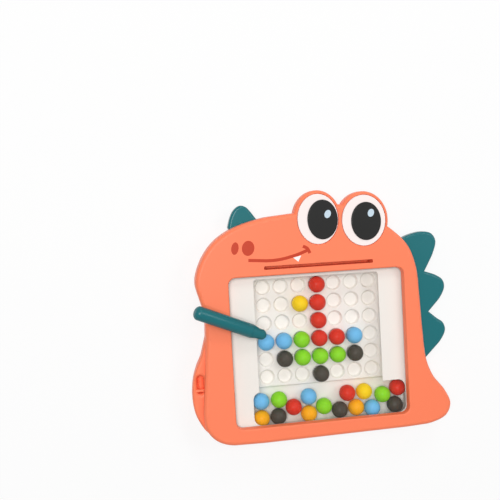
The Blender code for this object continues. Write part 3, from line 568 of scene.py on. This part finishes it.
def traced(points, closed=False):
    """A smooth line through the points: a sample is kept at each OUTLINE_TURN of bend."""
    samples = smooth_curve(points, closed)
    kept = [samples[0]]
    heading = samples[1] - samples[0]
    for here, ahead in zip(samples[1:], samples[2:] + (samples[:1] if closed else [])):
        if abs(heading.angle_signed(ahead - here, 0.0)) >= OUTLINE_TURN:
            kept.append(here)
            heading = ahead - here
    return kept if closed else kept + [samples[-1]]


def case_outlines():
    """Outlines of the body and the hip."""
    return [traced(points, closed=True) for points in (BODY_POINTS, HIP_POINTS)]


def ellipse(centre, half_width, half_height, tilt=0.0):
    """A tilted ellipse's outline, anticlockwise."""
    turn = Matrix.Rotation(tilt, 2)
    outline = []
    for angle in turns(tau, ROUND_SIDES)[:-1]:
        spoke = Vector((half_width * cos(angle), half_height * sin(angle)))
        outline.append(Vector(centre[:2]) + turn @ spoke)
    return outline


def box_ellipse(node, margin=0.0):
    """The ellipse in a node's box, seen in the plan and moved out by a margin."""
    low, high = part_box(node)
    half = (high - low) / 2
    return ellipse((low + high) / 2, half.x + margin, half.y + margin)


def rectangle(left, bottom, right, top, corner):
    """A rectangle's outline with round corners, anticlockwise."""
    outline = []
    left, bottom, right, top = left + corner, bottom + corner, right - corner, top - corner
    for quarter, centre in enumerate(((right, top), (left, top), (left, bottom), (right, bottom))):
        for step in range(CORNER_STEPS + 1):
            angle = pi / 2 * (quarter + step / CORNER_STEPS)
            outline.append(Vector(centre) + corner * Vector((cos(angle), sin(angle))))
    return outline


def rectangle_about(centre, width, height, corner):
    """The outline of a rectangle with round corners about a place."""
    x, y = centre
    return rectangle(x - width / 2, y - height / 2, x + width / 2, y + height / 2, corner)


def tray_outline(distance):
    """The tray's outer outline, moved inwards by a distance."""
    return inset(rectangle(*TRAY_LOW.xy, *TRAY_HIGH.xy, TRAY_CORNER), distance)


def inset(outline, distance):
    """The outline moved inwards by a distance, point for point. A negative one moves it out."""
    count = len(outline)
    shifted = []
    for index, here in enumerate(outline):
        normal_in = (here - outline[index - 1]).normalized().orthogonal()
        normal_out = (outline[(index + 1) % count] - here).normalized().orthogonal()
        across = (normal_in + normal_out).normalized()
        shifted.append(here + across * (distance / max(across.dot(normal_in), SHARPEST_CORNER)))
    return shifted


def turns(angle=pi / 2, steps=EDGE_STEPS):
    """Evenly spaced angles from 0 to an angle."""
    return [angle * step / steps for step in range(steps + 1)]


def walls(bottom, top, bottom_round=0.0, top_round=0.0, steps=EDGE_STEPS):
    """Inset and height of each ring of a plate, whose rims are rounded where it is asked for."""
    angles = turns(steps=steps)
    low, high = [(0.0, bottom)], [(0.0, top)]
    if bottom_round:
        low = [(bottom_round * (1 - sin(a)), bottom + bottom_round * (1 - cos(a))) for a in angles]
    if top_round:
        high = [(top_round * (1 - cos(a)), top - top_round * (1 - sin(a))) for a in angles]
    return low + high


def flared(bottom, face, above, flare, bottom_round=0.0, draft=0.0):
    """Rings of a cutter that rounds the edge that it leaves at a face."""
    levels = walls(bottom, face - flare, bottom_round)[:-1]
    levels += [(-draft - flare * (1 - cos(a)), face - flare * (1 - sin(a))) for a in turns()]
    return levels + [(-draft - flare, above)]


def plate(outline, levels, root=()):
    """A closed solid lofted through insets of an outline, lowest level first.

    Root points, if any, close the outline and aren't inset.
    """
    mesh = bmesh.new()
    rings = []
    whole = outline + list(root)
    count = len(whole)
    for distance, height in levels:
        ring = inset(whole, distance)[:len(outline)] + whole[len(outline):] if distance else whole
        rings.append([mesh.verts.new((spot.x, spot.y, height)) for spot in ring])
    for lower, upper in zip(rings, rings[1:]):
        for index in range(count):
            following = (index + 1) % count
            mesh.faces.new((lower[index], lower[following], upper[following], upper[index]))
    mesh.faces.new(list(reversed(rings[0])))
    mesh.faces.new(rings[-1])
    return mesh


def turned(profile, sides=ROUND_SIDES):
    """A closed solid turned about Z from (radius, height) points that start and end on the axis."""
    mesh = bmesh.new()
    rings = []
    for radius, height in profile:
        angles = turns(tau, sides)[:-1] if radius else [0.0]
        rings.append([mesh.verts.new((radius * cos(a), radius * sin(a), height)) for a in angles])
    for lower, upper in zip(rings, rings[1:]):
        for side in range(sides):
            following = (side + 1) % sides
            corners = dict.fromkeys(ring[index % len(ring)] for ring, index in (
                (lower, side), (lower, following), (upper, following), (upper, side)))
            if len(corners) > 2:
                mesh.faces.new(list(corners))
    return mesh


def cylinder(radius, bottom, top):
    """A closed upright cylinder about the origin's Z axis."""
    return turned([(0.0, bottom), (radius, bottom), (radius, top), (0.0, top)], POST_SIDES)


def shifted_by(mesh, x, y, z=0.0):
    """The same mesh, shifted."""
    bmesh.ops.translate(mesh, verts=mesh.verts, vec=(x, y, z))
    return mesh


def at_each(places, make):
    """One mesh with a copy of a solid at each place."""
    whole = bmesh.new()
    for place in places:
        part = shifted_by(make(), *place)
        passed = bpy.data.meshes.new("passed")
        part.to_mesh(passed)
        part.free()
        whole.from_mesh(passed)
        bpy.data.meshes.remove(passed)
    return whole


def joined(outline, levels):
    """The step that joins a plate on."""
    return "UNION", plate(outline, levels)


def cut(outline, levels):
    """The step that cuts a plate out."""
    return "DIFFERENCE", plate(outline, levels)


def smoothed(data, sharp=SHARP):
    """The same Blender mesh with smooth round faces and sharp edges."""
    data.shade_smooth()
    data.set_sharp_from_angle(angle=radians(sharp))
    return data


def mesh_data(name, mesh, sharp=SHARP):
    """A Blender mesh with its faces turned outwards."""
    bmesh.ops.recalc_face_normals(mesh, faces=mesh.faces)
    data = bpy.data.meshes.new(name)
    mesh.to_mesh(data)
    mesh.free()
    return smoothed(data, sharp)


def linked(name, data):
    """A new object in the scene."""
    thing = bpy.data.objects.new(name, data)
    bpy.context.scene.collection.objects.link(thing)
    return thing


def combined(name, base, steps):
    """A mesh with solids joined on or cut out, one after the other."""
    target = linked(name, mesh_data(name, base))
    used = [target]
    for operation, mesh in steps:
        step = target.modifiers.new("step", "BOOLEAN")
        step.operation = operation
        step.solver = "EXACT"
        step.object = linked(name, mesh_data(name, mesh))
        used.append(step.object)
    bpy.context.view_layer.update()
    data = bpy.data.meshes.new_from_object(
        target.evaluated_get(bpy.context.evaluated_depsgraph_get()))
    for thing in used:
        old = thing.data
        bpy.data.objects.remove(thing)
        bpy.data.meshes.remove(old)
    if not data.polygons:
        raise RuntimeError(f"{name} came out empty")
    return smoothed(data)


def add_piece(name, data, slot, node=None, body="board", even_faces=False, place=None, turn=None):
    """A new piece with its finish, which moves with a body and may stand for one of its nodes."""
    piece = linked(name, mesh_data(name, data) if isinstance(data, bmesh.types.BMesh) else data)
    piece.data.materials.clear()
    piece.data.materials.append(finish_for(slot))
    if place:
        piece.location = place
        piece.rotation_euler = turn
    if even_faces:
        normals = piece.modifiers.new("even_faces", "WEIGHTED_NORMAL")
        normals.keep_sharp = True
    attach(piece, body)
    if node:
        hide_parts(node)


def refinish(node, slot):
    """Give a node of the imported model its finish."""
    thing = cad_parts[node]
    if not thing.material_slots:
        thing.data.materials.append(finish_for(slot))
    for holder in thing.material_slots:
        holder.material = finish_for(slot)


def nearest_place(outline, spot):
    """Where a closed outline passes nearest to a spot: the edge's number and the share along it."""
    places = []
    for index, here in enumerate(outline):
        edge = outline[(index + 1) % len(outline)] - here
        share = min(max((spot - here).dot(edge) / edge.length_squared, 0.0), 1.0)
        places.append(((here + edge * share - spot).length, index, share))
    return min(places)[1:]


def crest_outlines(body, node):
    """A crest plate's free edge and root, and the outline of its flange inside the casing's wall."""
    free = []
    for curve in CREST_CURVES[node]:
        run = traced(curve)
        free += run if not free else run[1:]
    count = len(body)
    ends = [nearest_place(body, spot) for spot in (free[0], free[-1])]
    first, last = (edge for edge, _ in ends)

    def stretch(distance):
        """The body's outline moved inwards, from beside the free edge's first point to its last."""
        line = inset(body, distance)
        start, end = (line[edge].lerp(line[(edge + 1) % count], share) for edge, share in ends)
        steps = range(1, (last - first) % count + 1)
        return [start, *(line[(first + step) % count] for step in steps), end]

    behind_wall = REAR_STEP + SHELL_WALL + FIT
    root = stretch(behind_wall + FLANGE_THICKNESS / 2)[::-1]
    flange = stretch(behind_wall + FLANGE_THICKNESS)[::-1] + stretch(behind_wall)
    return free, root, flange


def crest_notches(body):
    """Cutters of the notches that the crest plates pass through."""
    cutters = []
    reach = CREST_THICKNESS / 2 + FIT
    for node in CREST_CURVES:
        free, root, _ = crest_outlines(body, node)
        cutters.append(cut(inset(free + root, -FIT), walls(SEAM - reach, SEAM + reach)))
    return cutters


def crest_mesh(name, free, root, flange):
    """A rounded plate with a flange behind the casing's wall."""
    half, reach = CREST_THICKNESS / 2, FLANGE_HEIGHT / 2
    base = plate(free, walls(SEAM - half, SEAM + half, CREST_ROUND, CREST_ROUND), root)
    return combined(name, base, [joined(flange, walls(SEAM - reach, SEAM + reach))])


def eyelet_bar():
    """The round bar across the eyelet's lower end."""
    reach = EYELET_WIDTH / 2 + SHELL_WALL / 2
    bar = cylinder(EYELET_BAR / 2, -reach, reach)
    bmesh.ops.rotate(bar, verts=bar.verts, cent=(0, 0, 0), matrix=Matrix.Rotation(pi / 2, 3, "Y"))
    y = EYELET_CENTRE.y - EYELET_LENGTH / 2 + EYELET_BAR
    return shifted_by(bar, EYELET_CENTRE.x, y, HIP_TOP - EYELET_BAR / 2 - FIT)


def front_casing_mesh(sizes):
    """Face, walls, eye bumps, window lip, card slot, eye seats, hip step, eyelet and bosses."""
    body, hip = case_outlines()
    bumps = [box_ellipse(f"eye_white_{side}", EYE_RIM) for side in SIDES]
    below = FRONT_FOOT - SHELL_WALL
    above = FACE + SHELL_WALL
    buried = (FRONT_INSIDE + FACE) / 2
    bump_bottom = FACE - EYE_BUMP_DEPTH
    hollows = [(body, below, FRONT_INSIDE), (hip, below, EYELET_FLOOR - SHELL_WALL)]
    hollows += [(bump, bump_bottom + SHELL_WALL, FRONT_INSIDE) for bump in bumps]
    foot = WINDOW_DRAFT + WINDOW_ROUND
    window = rectangle(
        WINDOW_LEFT + foot, WINDOW_BOTTOM + foot, WINDOW_RIGHT - foot, WINDOW_TOP - foot,
        WINDOW_CORNER - foot)
    slot = rectangle_about(SLOT_CENTRE, SLOT_LENGTH, SLOT_WIDTH, SLOT_CORNER)
    slot_floor = FACE - SLOT_DEPTH
    bore_top = SCREW_SEAT + SCREW_LENGTH + FIT
    eyelet = rectangle_about(EYELET_CENTRE, EYELET_WIDTH, EYELET_LENGTH, EYELET_CORNER)
    steps = [
        *(joined(bump, walls(bump_bottom, FACE, FRONT_ROUND, FRONT_ROUND)) for bump in bumps),
        joined(hip, walls(FRONT_FOOT, HIP_TOP, SEAM_ROUND, HIP_ROUND)),
        *(cut(inset(outline, SHELL_WALL), walls(low, high)) for outline, low, high in hollows),
        joined(inset(window, -WINDOW_RIM), walls(LIP_BOTTOM, buried)),
        joined(inset(slot, -SLOT_WALL), walls(slot_floor - SLOT_WALL, buried)),
        ("UNION", at_each(SCREW_PLACES, lambda: cylinder(SCREW_BORE + BOSS_WALL, FRONT_FOOT, buried))),
        cut(window, [(0.0, LIP_BOTTOM - FIT)] + flared(
            LIP_BOTTOM, FACE, above, WINDOW_ROUND, draft=WINDOW_DRAFT)),
        cut(slot, flared(slot_floor, FACE, above, sizes.slot_edge)),
        *(cut(box_ellipse(f"eye_white_{side}", EYE_GAP), flared(
            FACE - EYE_SEAT_DEPTH, FACE, above, EYE_GAP)) for side in SIDES),
        ("DIFFERENCE", at_each(SCREW_PLACES, lambda: cylinder(SCREW_BORE, below, bore_top))),
        cut(eyelet, flared(EYELET_FLOOR, HIP_TOP, HIP_TOP + FIT, EYELET_FLARE, EYELET_FLARE)),
        ("UNION", eyelet_bar()),
        *crest_notches(body),
    ]
    base = plate(body, walls(FRONT_FOOT, FACE, SEAM_ROUND, FRONT_ROUND))
    return combined("front_casing", base, steps)


def rear_casing_mesh():
    """Back, walls, the fence round the tray and the posts that the screws pass."""
    body, hip = case_outlines()
    body_in, hip_in = inset(body, REAR_STEP), inset(hip, REAR_STEP)
    levels = walls(0.0, REAR_TOP, REAR_ROUND, SEAM_ROUND)
    buried = REAR_SKIN / 2
    above = REAR_TOP + SHELL_WALL
    below = -SHELL_WALL
    sunk = SCREW_HEAD / 2 + FIT
    seat = SCREW_SEAT + FIT
    hole = [
        (0.0, below), (sunk + FIT, below), (sunk + FIT, 0.0), (sunk, FIT), (sunk, seat),
        (SCREW_BORE, seat), (SCREW_BORE, above), (0.0, above)]
    steps = [
        joined(hip_in, levels),
        *(cut(inset(outline, SHELL_WALL), walls(REAR_SKIN, above)) for outline in (body_in, hip_in)),
        joined(tray_outline(-FIT - FENCE_WALL), walls(buried, REAR_SKIN + FENCE_HEIGHT)),
        cut(tray_outline(-FIT), walls(REAR_SKIN, REAR_TOP)),
        ("UNION", at_each(SCREW_PLACES, lambda: cylinder(sunk + BOSS_WALL / 2, buried, REAR_TOP))),
        ("DIFFERENCE", at_each(SCREW_PLACES, lambda: turned(hole, SCREW_SIDES))),
        *crest_notches(body),
    ]
    return combined("rear_casing", plate(body_in, levels), steps)


def dimple_cutter(sizes):
    """Cutter of one dimple: flat floor, fillet, steep wall and a rounded rim."""
    flat, fillet, rim = sizes.dimple_flat, sizes.dimple_fillet, sizes.dimple_rim
    profile = [(0.0, 0.0), (flat, 0.0)]
    profile += [
        (flat + fillet * sin(a), fillet * (1 - cos(a))) for a in turns(DIMPLE_SLOPE)[1:]]
    radius, height = profile[-1]
    wall = DIMPLE_DEPTH - rim * (1 - cos(DIMPLE_SLOPE)) - height
    radius += wall / tan(DIMPLE_SLOPE)
    for angle in reversed(turns(DIMPLE_SLOPE)):
        profile.append((
            radius + rim * (sin(DIMPLE_SLOPE) - sin(angle)),
            DIMPLE_DEPTH - rim * (1 - cos(angle))))
    top = DIMPLE_DEPTH + TRAY_WALL
    return turned(profile + [(profile[-1][0], top), (0.0, top)], BEAD_SIDES)


def brink_cutter(edge):
    """Cutter that rounds the edge where the field of dimples drops to the trough."""
    section = [Vector((edge * (1 - cos(a)), edge * (sin(a) - 1))) for a in turns()]
    section += [Vector((edge, edge)), Vector((-edge, edge)), Vector((-edge, -edge))]
    strip = plate(section, walls(FIELD_LEFT, FIELD_RIGHT))
    turn = Matrix(((0, 0, 1), (1, 0, 0), (0, 1, 0))).to_4x4()
    bmesh.ops.transform(strip, matrix=turn, verts=strip.verts)
    return shifted_by(strip, 0.0, FIELD_BOTTOM, FIELD_FLOOR)


def tray_mesh(sizes):
    """High border, the sunk field of dimples, the trough and the hollows under the border."""
    top = TRAY_HIGH.z
    above = top + TRAY_WALL
    trough_left = FIELD_LEFT - TROUGH_OVERHANG
    trough_right = TRAY_HIGH.x - TRAY_WALL
    trough_bottom = TRAY_LOW.y + TRAY_WALL
    rim = flared(top - 2 * RIM_THICKNESS, top, above, RIM_THICKNESS / 2)
    steps = []
    for left, bottom, right, end, corner, floor, fillet, rim_below, rim_beside in (
        (FIELD_LEFT, FIELD_BOTTOM - TROUGH_SLACK, FIELD_RIGHT, FIELD_TOP,
         FIELD_CORNER, FIELD_FLOOR, FIELD_FILLET, 0.0, RIM_BESIDE_FIELD),
        (trough_left, trough_bottom, trough_right, FIELD_BOTTOM,
         TROUGH_CORNER, TROUGH_FLOOR, sizes.tray_fillet, RIM_BELOW_TROUGH, RIM_BESIDE_TROUGH),
    ):
        room = rectangle(left, bottom, right, end, corner)
        mouth = rectangle(left, bottom + rim_below, right - rim_beside, end, corner)
        steps += [cut(room, walls(floor, top - RIM_THICKNESS, fillet)), cut(mouth, rim)]
    dimples = [
        (FIELD_X + (column - (COLUMNS - 1) / 2) * PITCH, FIELD_Y + ((ROWS - 1) / 2 - row) * PITCH,
         DIMPLE_FLOOR)
        for row in range(ROWS) for column in range(COLUMNS)]
    steps += [
        ("DIFFERENCE", brink_cutter(sizes.tray_edge)),
        ("DIFFERENCE", at_each(dimples, lambda: dimple_cutter(sizes))),
    ]
    for left, bottom, right in (
        (TRAY_LOW.x + TRAY_WALL, trough_bottom, trough_left - TRAY_WALL),
        (FIELD_RIGHT + TRAY_WALL, FIELD_BOTTOM + TRAY_WALL, trough_right),
    ):
        steps.append(cut(
            rectangle(left, bottom, right, TRAY_HIGH.y - TRAY_WALL, TRAY_CORNER - TRAY_WALL),
            walls(TRAY_LOW.z - TRAY_WALL, top - TRAY_SKIN)))
    base = plate(tray_outline(0.0), walls(TRAY_LOW.z, top, 0.0, sizes.tray_edge / 2))
    return combined("tray_plate", base, steps)


def stroke(curve):
    """The outline of the mouth's line along a smooth curve."""
    line = traced(curve)
    left, right = [], []
    for index, here in enumerate(line):
        along = line[min(index + 1, len(line) - 1)] - line[max(index - 1, 0)]
        across = along.orthogonal().normalized() * (MOUTH_WIDTH / 2)
        left.append(here + across)
        right.append(here - across)
    return right + left[::-1]


def bead_mesh(name, sizes):
    """A ball with a fine parting groove round it and a small gate mark at each pole."""
    groove = sizes.bead_groove
    gate = BEAD_RADIUS * BEAD_GATE_SHARE
    flat = BEAD_RADIUS * cos(BEAD_GATE_SHARE)
    half = [(0.0, BEAD_RADIUS - groove), (gate, flat - groove), (gate, flat)]
    half += [(BEAD_RADIUS * sin(a), BEAD_RADIUS * cos(a)) for a in turns(steps=BEAD_STEPS)[1:-1]]
    half += [(BEAD_RADIUS, 2 * groove), (BEAD_RADIUS - groove, groove)]
    profile = [(radius, -height) for radius, height in half] + half[::-1]
    return mesh_data(name, turned(profile, BEAD_SIDES), sharp=50.0)


def pen_matrix():
    """Place of the pen: its tip rests on the sheet and its barrel on the window's left rim."""
    first = middle("bead_row4_column1_blue")
    tip = Vector((
        first.x + PEN_TIP_OFFSET[0], first.y + PEN_TIP_OFFSET[1], SHEET_TOP + FIT + TIP))
    across = tip.x - WINDOW_LEFT
    above = tip.z - (FACE - WINDOW_ROUND)
    reach = BARREL + WINDOW_ROUND + FIT
    tilt = asin(reach / hypot(across, above)) - atan2(above, across)
    slope = atan(tan(tilt) * abs(cos(PEN_HEADING)))
    turn = Euler((0.0, pi / 2 - slope, PEN_HEADING))
    return Matrix.Translation(tip) @ turn.to_matrix().to_4x4()


def arc(centre_radius, centre_height, radius, start, end, steps=EDGE_STEPS):
    """Profile points along an arc, with angles in degrees from the radius direction."""
    angles = [radians(start + turn) for turn in turns(end - start, steps)]
    return [(centre_radius + radius * cos(a), centre_height + radius * sin(a)) for a in angles]


def pen_nose_mesh():
    """Round tip, taper, shoulder and the spigot that the barrel slides on."""
    spigot = BARREL - PEN_WALL - FIT
    pocket = MAGNET_DIAMETER / 2 + FIT
    end = SHOULDER + SPIGOT_LENGTH
    profile = [
        (0.0, -TIP), *arc(0.0, 0.0, TIP, -90, 0)[1:], (TIP, SHOULDER - NOSE_TAPER),
        *arc(BARREL - PEN_EDGE, SHOULDER - PEN_EDGE, PEN_EDGE, 0, 90, 4),
        (spigot, SHOULDER), (spigot, end), (pocket, end), (pocket, -MAGNET_ROOM),
        (0.0, -MAGNET_ROOM)]
    return mesh_data("pen_nose", turned(profile), sharp=30.0)


def pen_barrel_mesh():
    """Hollow barrel with a round tail."""
    bore = BARREL - PEN_WALL
    mouth = SHOULDER + FIT / 3
    tail = PEN_LENGTH - TIP
    profile = [
        (0.0, tail - BARREL), (bore, tail - BARREL), (bore, mouth),
        *arc(BARREL - PEN_EDGE, mouth + PEN_EDGE, PEN_EDGE, -90, 0, 4),
        *arc(BARREL - PEN_TAIL_ROUND, tail - PEN_TAIL_ROUND, PEN_TAIL_ROUND, 0, 90, 12),
        (0.0, tail)]
    return mesh_data("pen_barrel", turned(profile), sharp=30.0)


def screw_mesh():
    """Pan head with a cross recess, and a plain pointed shank."""
    radius, shank, edge = SCREW_HEAD / 2, SCREW_SHANK / 2, SCREW_SINK
    profile = [
        (0.0, SCREW_SINK), *arc(radius - edge, SCREW_SINK + edge, edge, -90, 0),
        (radius, SCREW_SEAT), (shank, SCREW_SEAT), (shank, SCREW_SEAT + SCREW_LENGTH - shank),
        (0.0, SCREW_SEAT + SCREW_LENGTH)]
    blade, wide, deep = SCREW_HEAD / 16, SCREW_HEAD / 4, SCREW_HEAD_HEIGHT / 2
    steps = []
    for x, y in ((wide, blade), (blade, wide)):
        cross = [Vector(corner) for corner in ((x, y), (-x, y), (-x, -y), (x, -y))]
        steps.append(cut(cross, [(0.0, 0.0), (0.0, SCREW_SINK), (blade / 2, SCREW_SINK + deep)]))
    return combined("case_screw", turned(profile, SCREW_SIDES), steps)


class BOARD_OT_casings(bpy.types.Operator):
    """Build the front and rear casing with smooth outlines and rounded edges"""

    bl_idname = "board.casings"
    bl_label = "Casings"
    bl_options = {"REGISTER", "UNDO"}

    def execute(self, context):
        sizes = context.scene.board_sizes
        for side, data in (("front", front_casing_mesh(sizes)), ("rear", rear_casing_mesh())):
            add_piece(side + "_casing", data, "coral_plastic", side + "_shell", even_faces=True)
        return {"FINISHED"}


class BOARD_OT_tray(bpy.types.Operator):
    """Build the tray with its filleted dimples and trough, and finish the clear sheet over it"""

    bl_idname = "board.tray"
    bl_label = "Tray and sheet"
    bl_options = {"REGISTER", "UNDO"}

    def execute(self, context):
        sizes = context.scene.board_sizes
        add_piece("tray_plate", tray_mesh(sizes), "tray_plastic", "bead_tray", even_faces=True)
        refinish("window_sheet", "clear_sheet")
        return {"FINISHED"}


class BOARD_OT_crests(bpy.types.Operator):
    """Build the back fin and the head horn"""

    bl_idname = "board.crests"
    bl_label = "Crest plates"
    bl_options = {"REGISTER", "UNDO"}

    def execute(self, context):
        body = case_outlines()[0]
        for node in CREST_CURVES:
            name = node + "_plate"
            data = crest_mesh(name, *crest_outlines(body, node))
            add_piece(name, data, "teal_plastic", node, even_faces=True)
        return {"FINISHED"}


class BOARD_OT_eyes(bpy.types.Operator):
    """Build the eye whites, pupils and glints"""

    bl_idname = "board.eyes"
    bl_label = "Eyes"
    bl_options = {"REGISTER", "UNDO"}

    def execute(self, context):
        for side, (right, up), half_width, half_height in GLINTS:
            white, pupil = f"eye_white_{side}", f"pupil_{side}"
            low, high = heights(white)
            top = heights(pupil)[1]
            disc = plate(box_ellipse(white), walls(low - FIT / 2, high, 0.0, FIT, 4))
            add_piece(f"eye_disc_{side}", disc, "eye_white", white, even_faces=True)
            round_edge = (top - high) * PUPIL_ROUND_SHARE
            pad = plate(box_ellipse(pupil), walls(high + INK, top, 0.0, round_edge))
            add_piece(f"pupil_pad_{side}", pad, "pupil_black", pupil, even_faces=True)
            centre = middle(pupil)
            spot = ellipse((centre.x + right, centre.y + up), half_width, half_height, GLINT_TILT)
            add_piece(f"pupil_glint_{side}", plate(spot, walls(top, top + INK)), "eye_glint")
        return {"FINISHED"}


class BOARD_OT_face(bpy.types.Operator):
    """Print the nostrils, mouth and tooth on the face"""

    bl_idname = "board.face"
    bl_label = "Face print"
    bl_options = {"REGISTER", "UNDO"}

    def execute(self, context):
        ink = walls(FACE, FACE + INK)
        for side, centre, half_width, half_height in NOSTRILS:
            dot = plate(ellipse(centre, half_width, half_height, NOSTRIL_TILT), ink)
            add_piece(f"nostril_{side}", dot, "face_print")
        mouth = combined("mouth", plate(stroke(MOUTH_CURVE), ink), [joined(stroke(MOUTH_CORNER), ink)])
        add_piece("mouth_line", mouth, "face_print")
        add_piece("tooth", plate(TOOTH_CORNERS, ink), "tooth_print")
        return {"FINISHED"}


class BOARD_OT_beads(bpy.types.Operator):
    """Build every bead, each turned its own way"""

    bl_idname = "board.beads"
    bl_label = "Beads"
    bl_options = {"REGISTER", "UNDO"}

    def execute(self, context):
        sizes = context.scene.board_sizes
        draw = random.Random(sizes.bead_seed)
        meshes = {}
        for node in sorted(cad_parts):
            if "bead_" not in node or node == "bead_tray":
                continue
            body, tone = node.rsplit("_", 1)
            slot = "bead_" + tone
            if slot not in meshes:
                meshes[slot] = bead_mesh(slot, sizes)
            turn = (pi / 2 + draw.uniform(-BEAD_LEAN, BEAD_LEAN), 0.0, draw.uniform(0.0, tau))
            add_piece(body.replace("bead", "ball"), meshes[slot], slot, node, body,
                      place=middle(node), turn=turn)
        return {"FINISHED"}


class BOARD_OT_pen(bpy.types.Operator):
    """Build the pen's nose and barrel, and finish the magnet in it"""

    bl_idname = "board.pen"
    bl_label = "Pen"
    bl_options = {"REGISTER", "UNDO"}

    def execute(self, context):
        for name, data in (("pen_nose", pen_nose_mesh()), ("pen_barrel", pen_barrel_mesh())):
            data.transform(pen_matrix())
            add_piece(name + "_piece", data, "teal_plastic", name, "pen")
        refinish("pen_magnet", "bright_steel")
        return {"FINISHED"}


class BOARD_OT_screws(bpy.types.Operator):
    """Build the case screws"""

    bl_idname = "board.screws"
    bl_label = "Screws"
    bl_options = {"REGISTER", "UNDO"}

    def execute(self, context):
        for number, (x, y) in enumerate(SCREW_PLACES, start=1):
            data = screw_mesh()
            data.transform(Matrix.Translation((x, y, 0.0)) @ Matrix.Rotation(number, 4, "Z"))
            add_piece(f"screw_{number}", data, "bright_steel", f"case_screw_{number}")
        return {"FINISHED"}


class BOARD_OT_stage(bpy.types.Operator):
    """Set up the floor, the soft light and the camera"""

    bl_idname = "board.stage"
    bl_label = "Stage"
    bl_options = {"REGISTER", "UNDO"}

    def execute(self, context):
        settings = context.scene.board_stage
        self.add_floor()
        for name, (place, size) in LAMPS.items():
            self.add_lamp(name, place, size, getattr(settings, name + "_power"))
        self.light_sky(settings.sky)
        self.add_camera(settings.lens)
        context.scene.view_settings.view_transform = "Standard"
        return {"FINISHED"}

    def add_floor(self):
        """A pale floor, seen nearly white, that keeps the board's shadow."""
        data = bpy.data.meshes.new("floor")
        corners = [(x, y, 0.0) for x in (-FLOOR_REACH, FLOOR_REACH) for y in (-FLOOR_REACH, FLOOR_REACH)]
        data.from_pydata(corners, [], [(0, 2, 3, 1)])
        floor = linked("floor", data)
        floor.location.z = -FIT
        paper = Finish("floor_paper")
        paper.surface_of({
            "Base Color": paper.blend(paper.noise(9.0), (0.9, 0.9, 0.9), (0.93, 0.93, 0.93)),
            "Roughness": 0.9, "Specular IOR Level": 0.0})
        white = paper.node("Emission", {"Color": WHITE, "Strength": 1.0})
        mixed = paper.node("MixShader", {
            0: 0.8 * paper.backdrop(), 1: Value(paper, paper.surface.outputs[0]), 2: white})
        paper.feed(paper.tree.nodes["Material Output"], {"Surface": mixed})
        data.materials.append(paper.material)

    def add_lamp(self, name, place, size, power):
        """A square soft lamp that looks at the board's middle."""
        lamp = bpy.data.lights.new(name, "AREA")
        lamp.size = size
        lamp.energy = power
        holder = linked(name, lamp)
        holder.location = place
        holder.rotation_euler = (-Vector(place)).to_track_quat("-Z", "Y").to_euler()

    def light_sky(self, strength):
        """Even light from all round, seen as white where the camera or a reflection meets it."""
        world = bpy.data.worlds.new("sky")
        bpy.context.scene.world = world
        world.use_nodes = True
        sky = Shading(world.node_tree)
        sky.tree.nodes.remove(sky.tree.nodes["Background"])
        even, white = (
            sky.node("Background", {"Color": WHITE, "Strength": level}) for level in (strength, 1.0))
        mixed = sky.node("MixShader", {0: sky.backdrop(), 1: even, 2: white})
        sky.feed(sky.tree.nodes["World Output"], {"Surface": mixed})

    def add_camera(self, lens):
        """The camera that took the picture, above the board's top left."""
        data = bpy.data.cameras.new("camera")
        data.lens = lens
        data.sensor_width = SENSOR_WIDTH
        data.clip_start = 0.01
        camera = linked("camera", data)
        camera.location = CAMERA_PLACE
        camera.rotation_euler = CAMERA_TURN
        bpy.context.scene.camera = camera


class BOARD_PT_panel(bpy.types.Panel):
    """Lists the board's operators and settings"""

    bl_label = "Magnetic drawing board"
    bl_idname = "BOARD_PT_panel"
    bl_space_type = "VIEW_3D"
    bl_region_type = "UI"
    bl_category = "Board"

    def draw(self, context):
        for operator in OPERATORS:
            self.layout.operator(operator.bl_idname)
        for group in GROUPS:
            column = self.layout.column()
            settings = getattr(context.scene, group)
            for name in settings.__annotations__:
                column.prop(settings, name)


GROUPS = {
    "board_colours": BoardColours, "board_sizes": BoardSizes, "board_stage": StageSettings,
}
OPERATORS = (
    BOARD_OT_casings, BOARD_OT_tray, BOARD_OT_crests, BOARD_OT_eyes, BOARD_OT_face,
    BOARD_OT_beads, BOARD_OT_pen, BOARD_OT_screws, BOARD_OT_stage,
)


def register():
    """Register the classes and hang the settings on the scene."""
    for group in (*GROUPS.values(), *OPERATORS, BOARD_PT_panel):
        bpy.utils.register_class(group)
    for name, group in GROUPS.items():
        setattr(bpy.types.Scene, name, PointerProperty(type=group))


def unregister():
    """Take the settings and the classes away again."""
    for name in GROUPS:
        delattr(bpy.types.Scene, name)
    for group in (BOARD_PT_panel, *reversed(OPERATORS), *GROUPS.values()):
        bpy.utils.unregister_class(group)


def main():
    """Build every piece and the stage."""
    register()
    bpy.ops.board.casings()
    bpy.ops.board.tray()
    bpy.ops.board.crests()
    bpy.ops.board.eyes()
    bpy.ops.board.face()
    bpy.ops.board.beads()
    bpy.ops.board.pen()
    bpy.ops.board.screws()
    bpy.ops.board.stage()


if __name__ == "__main__":
    main()
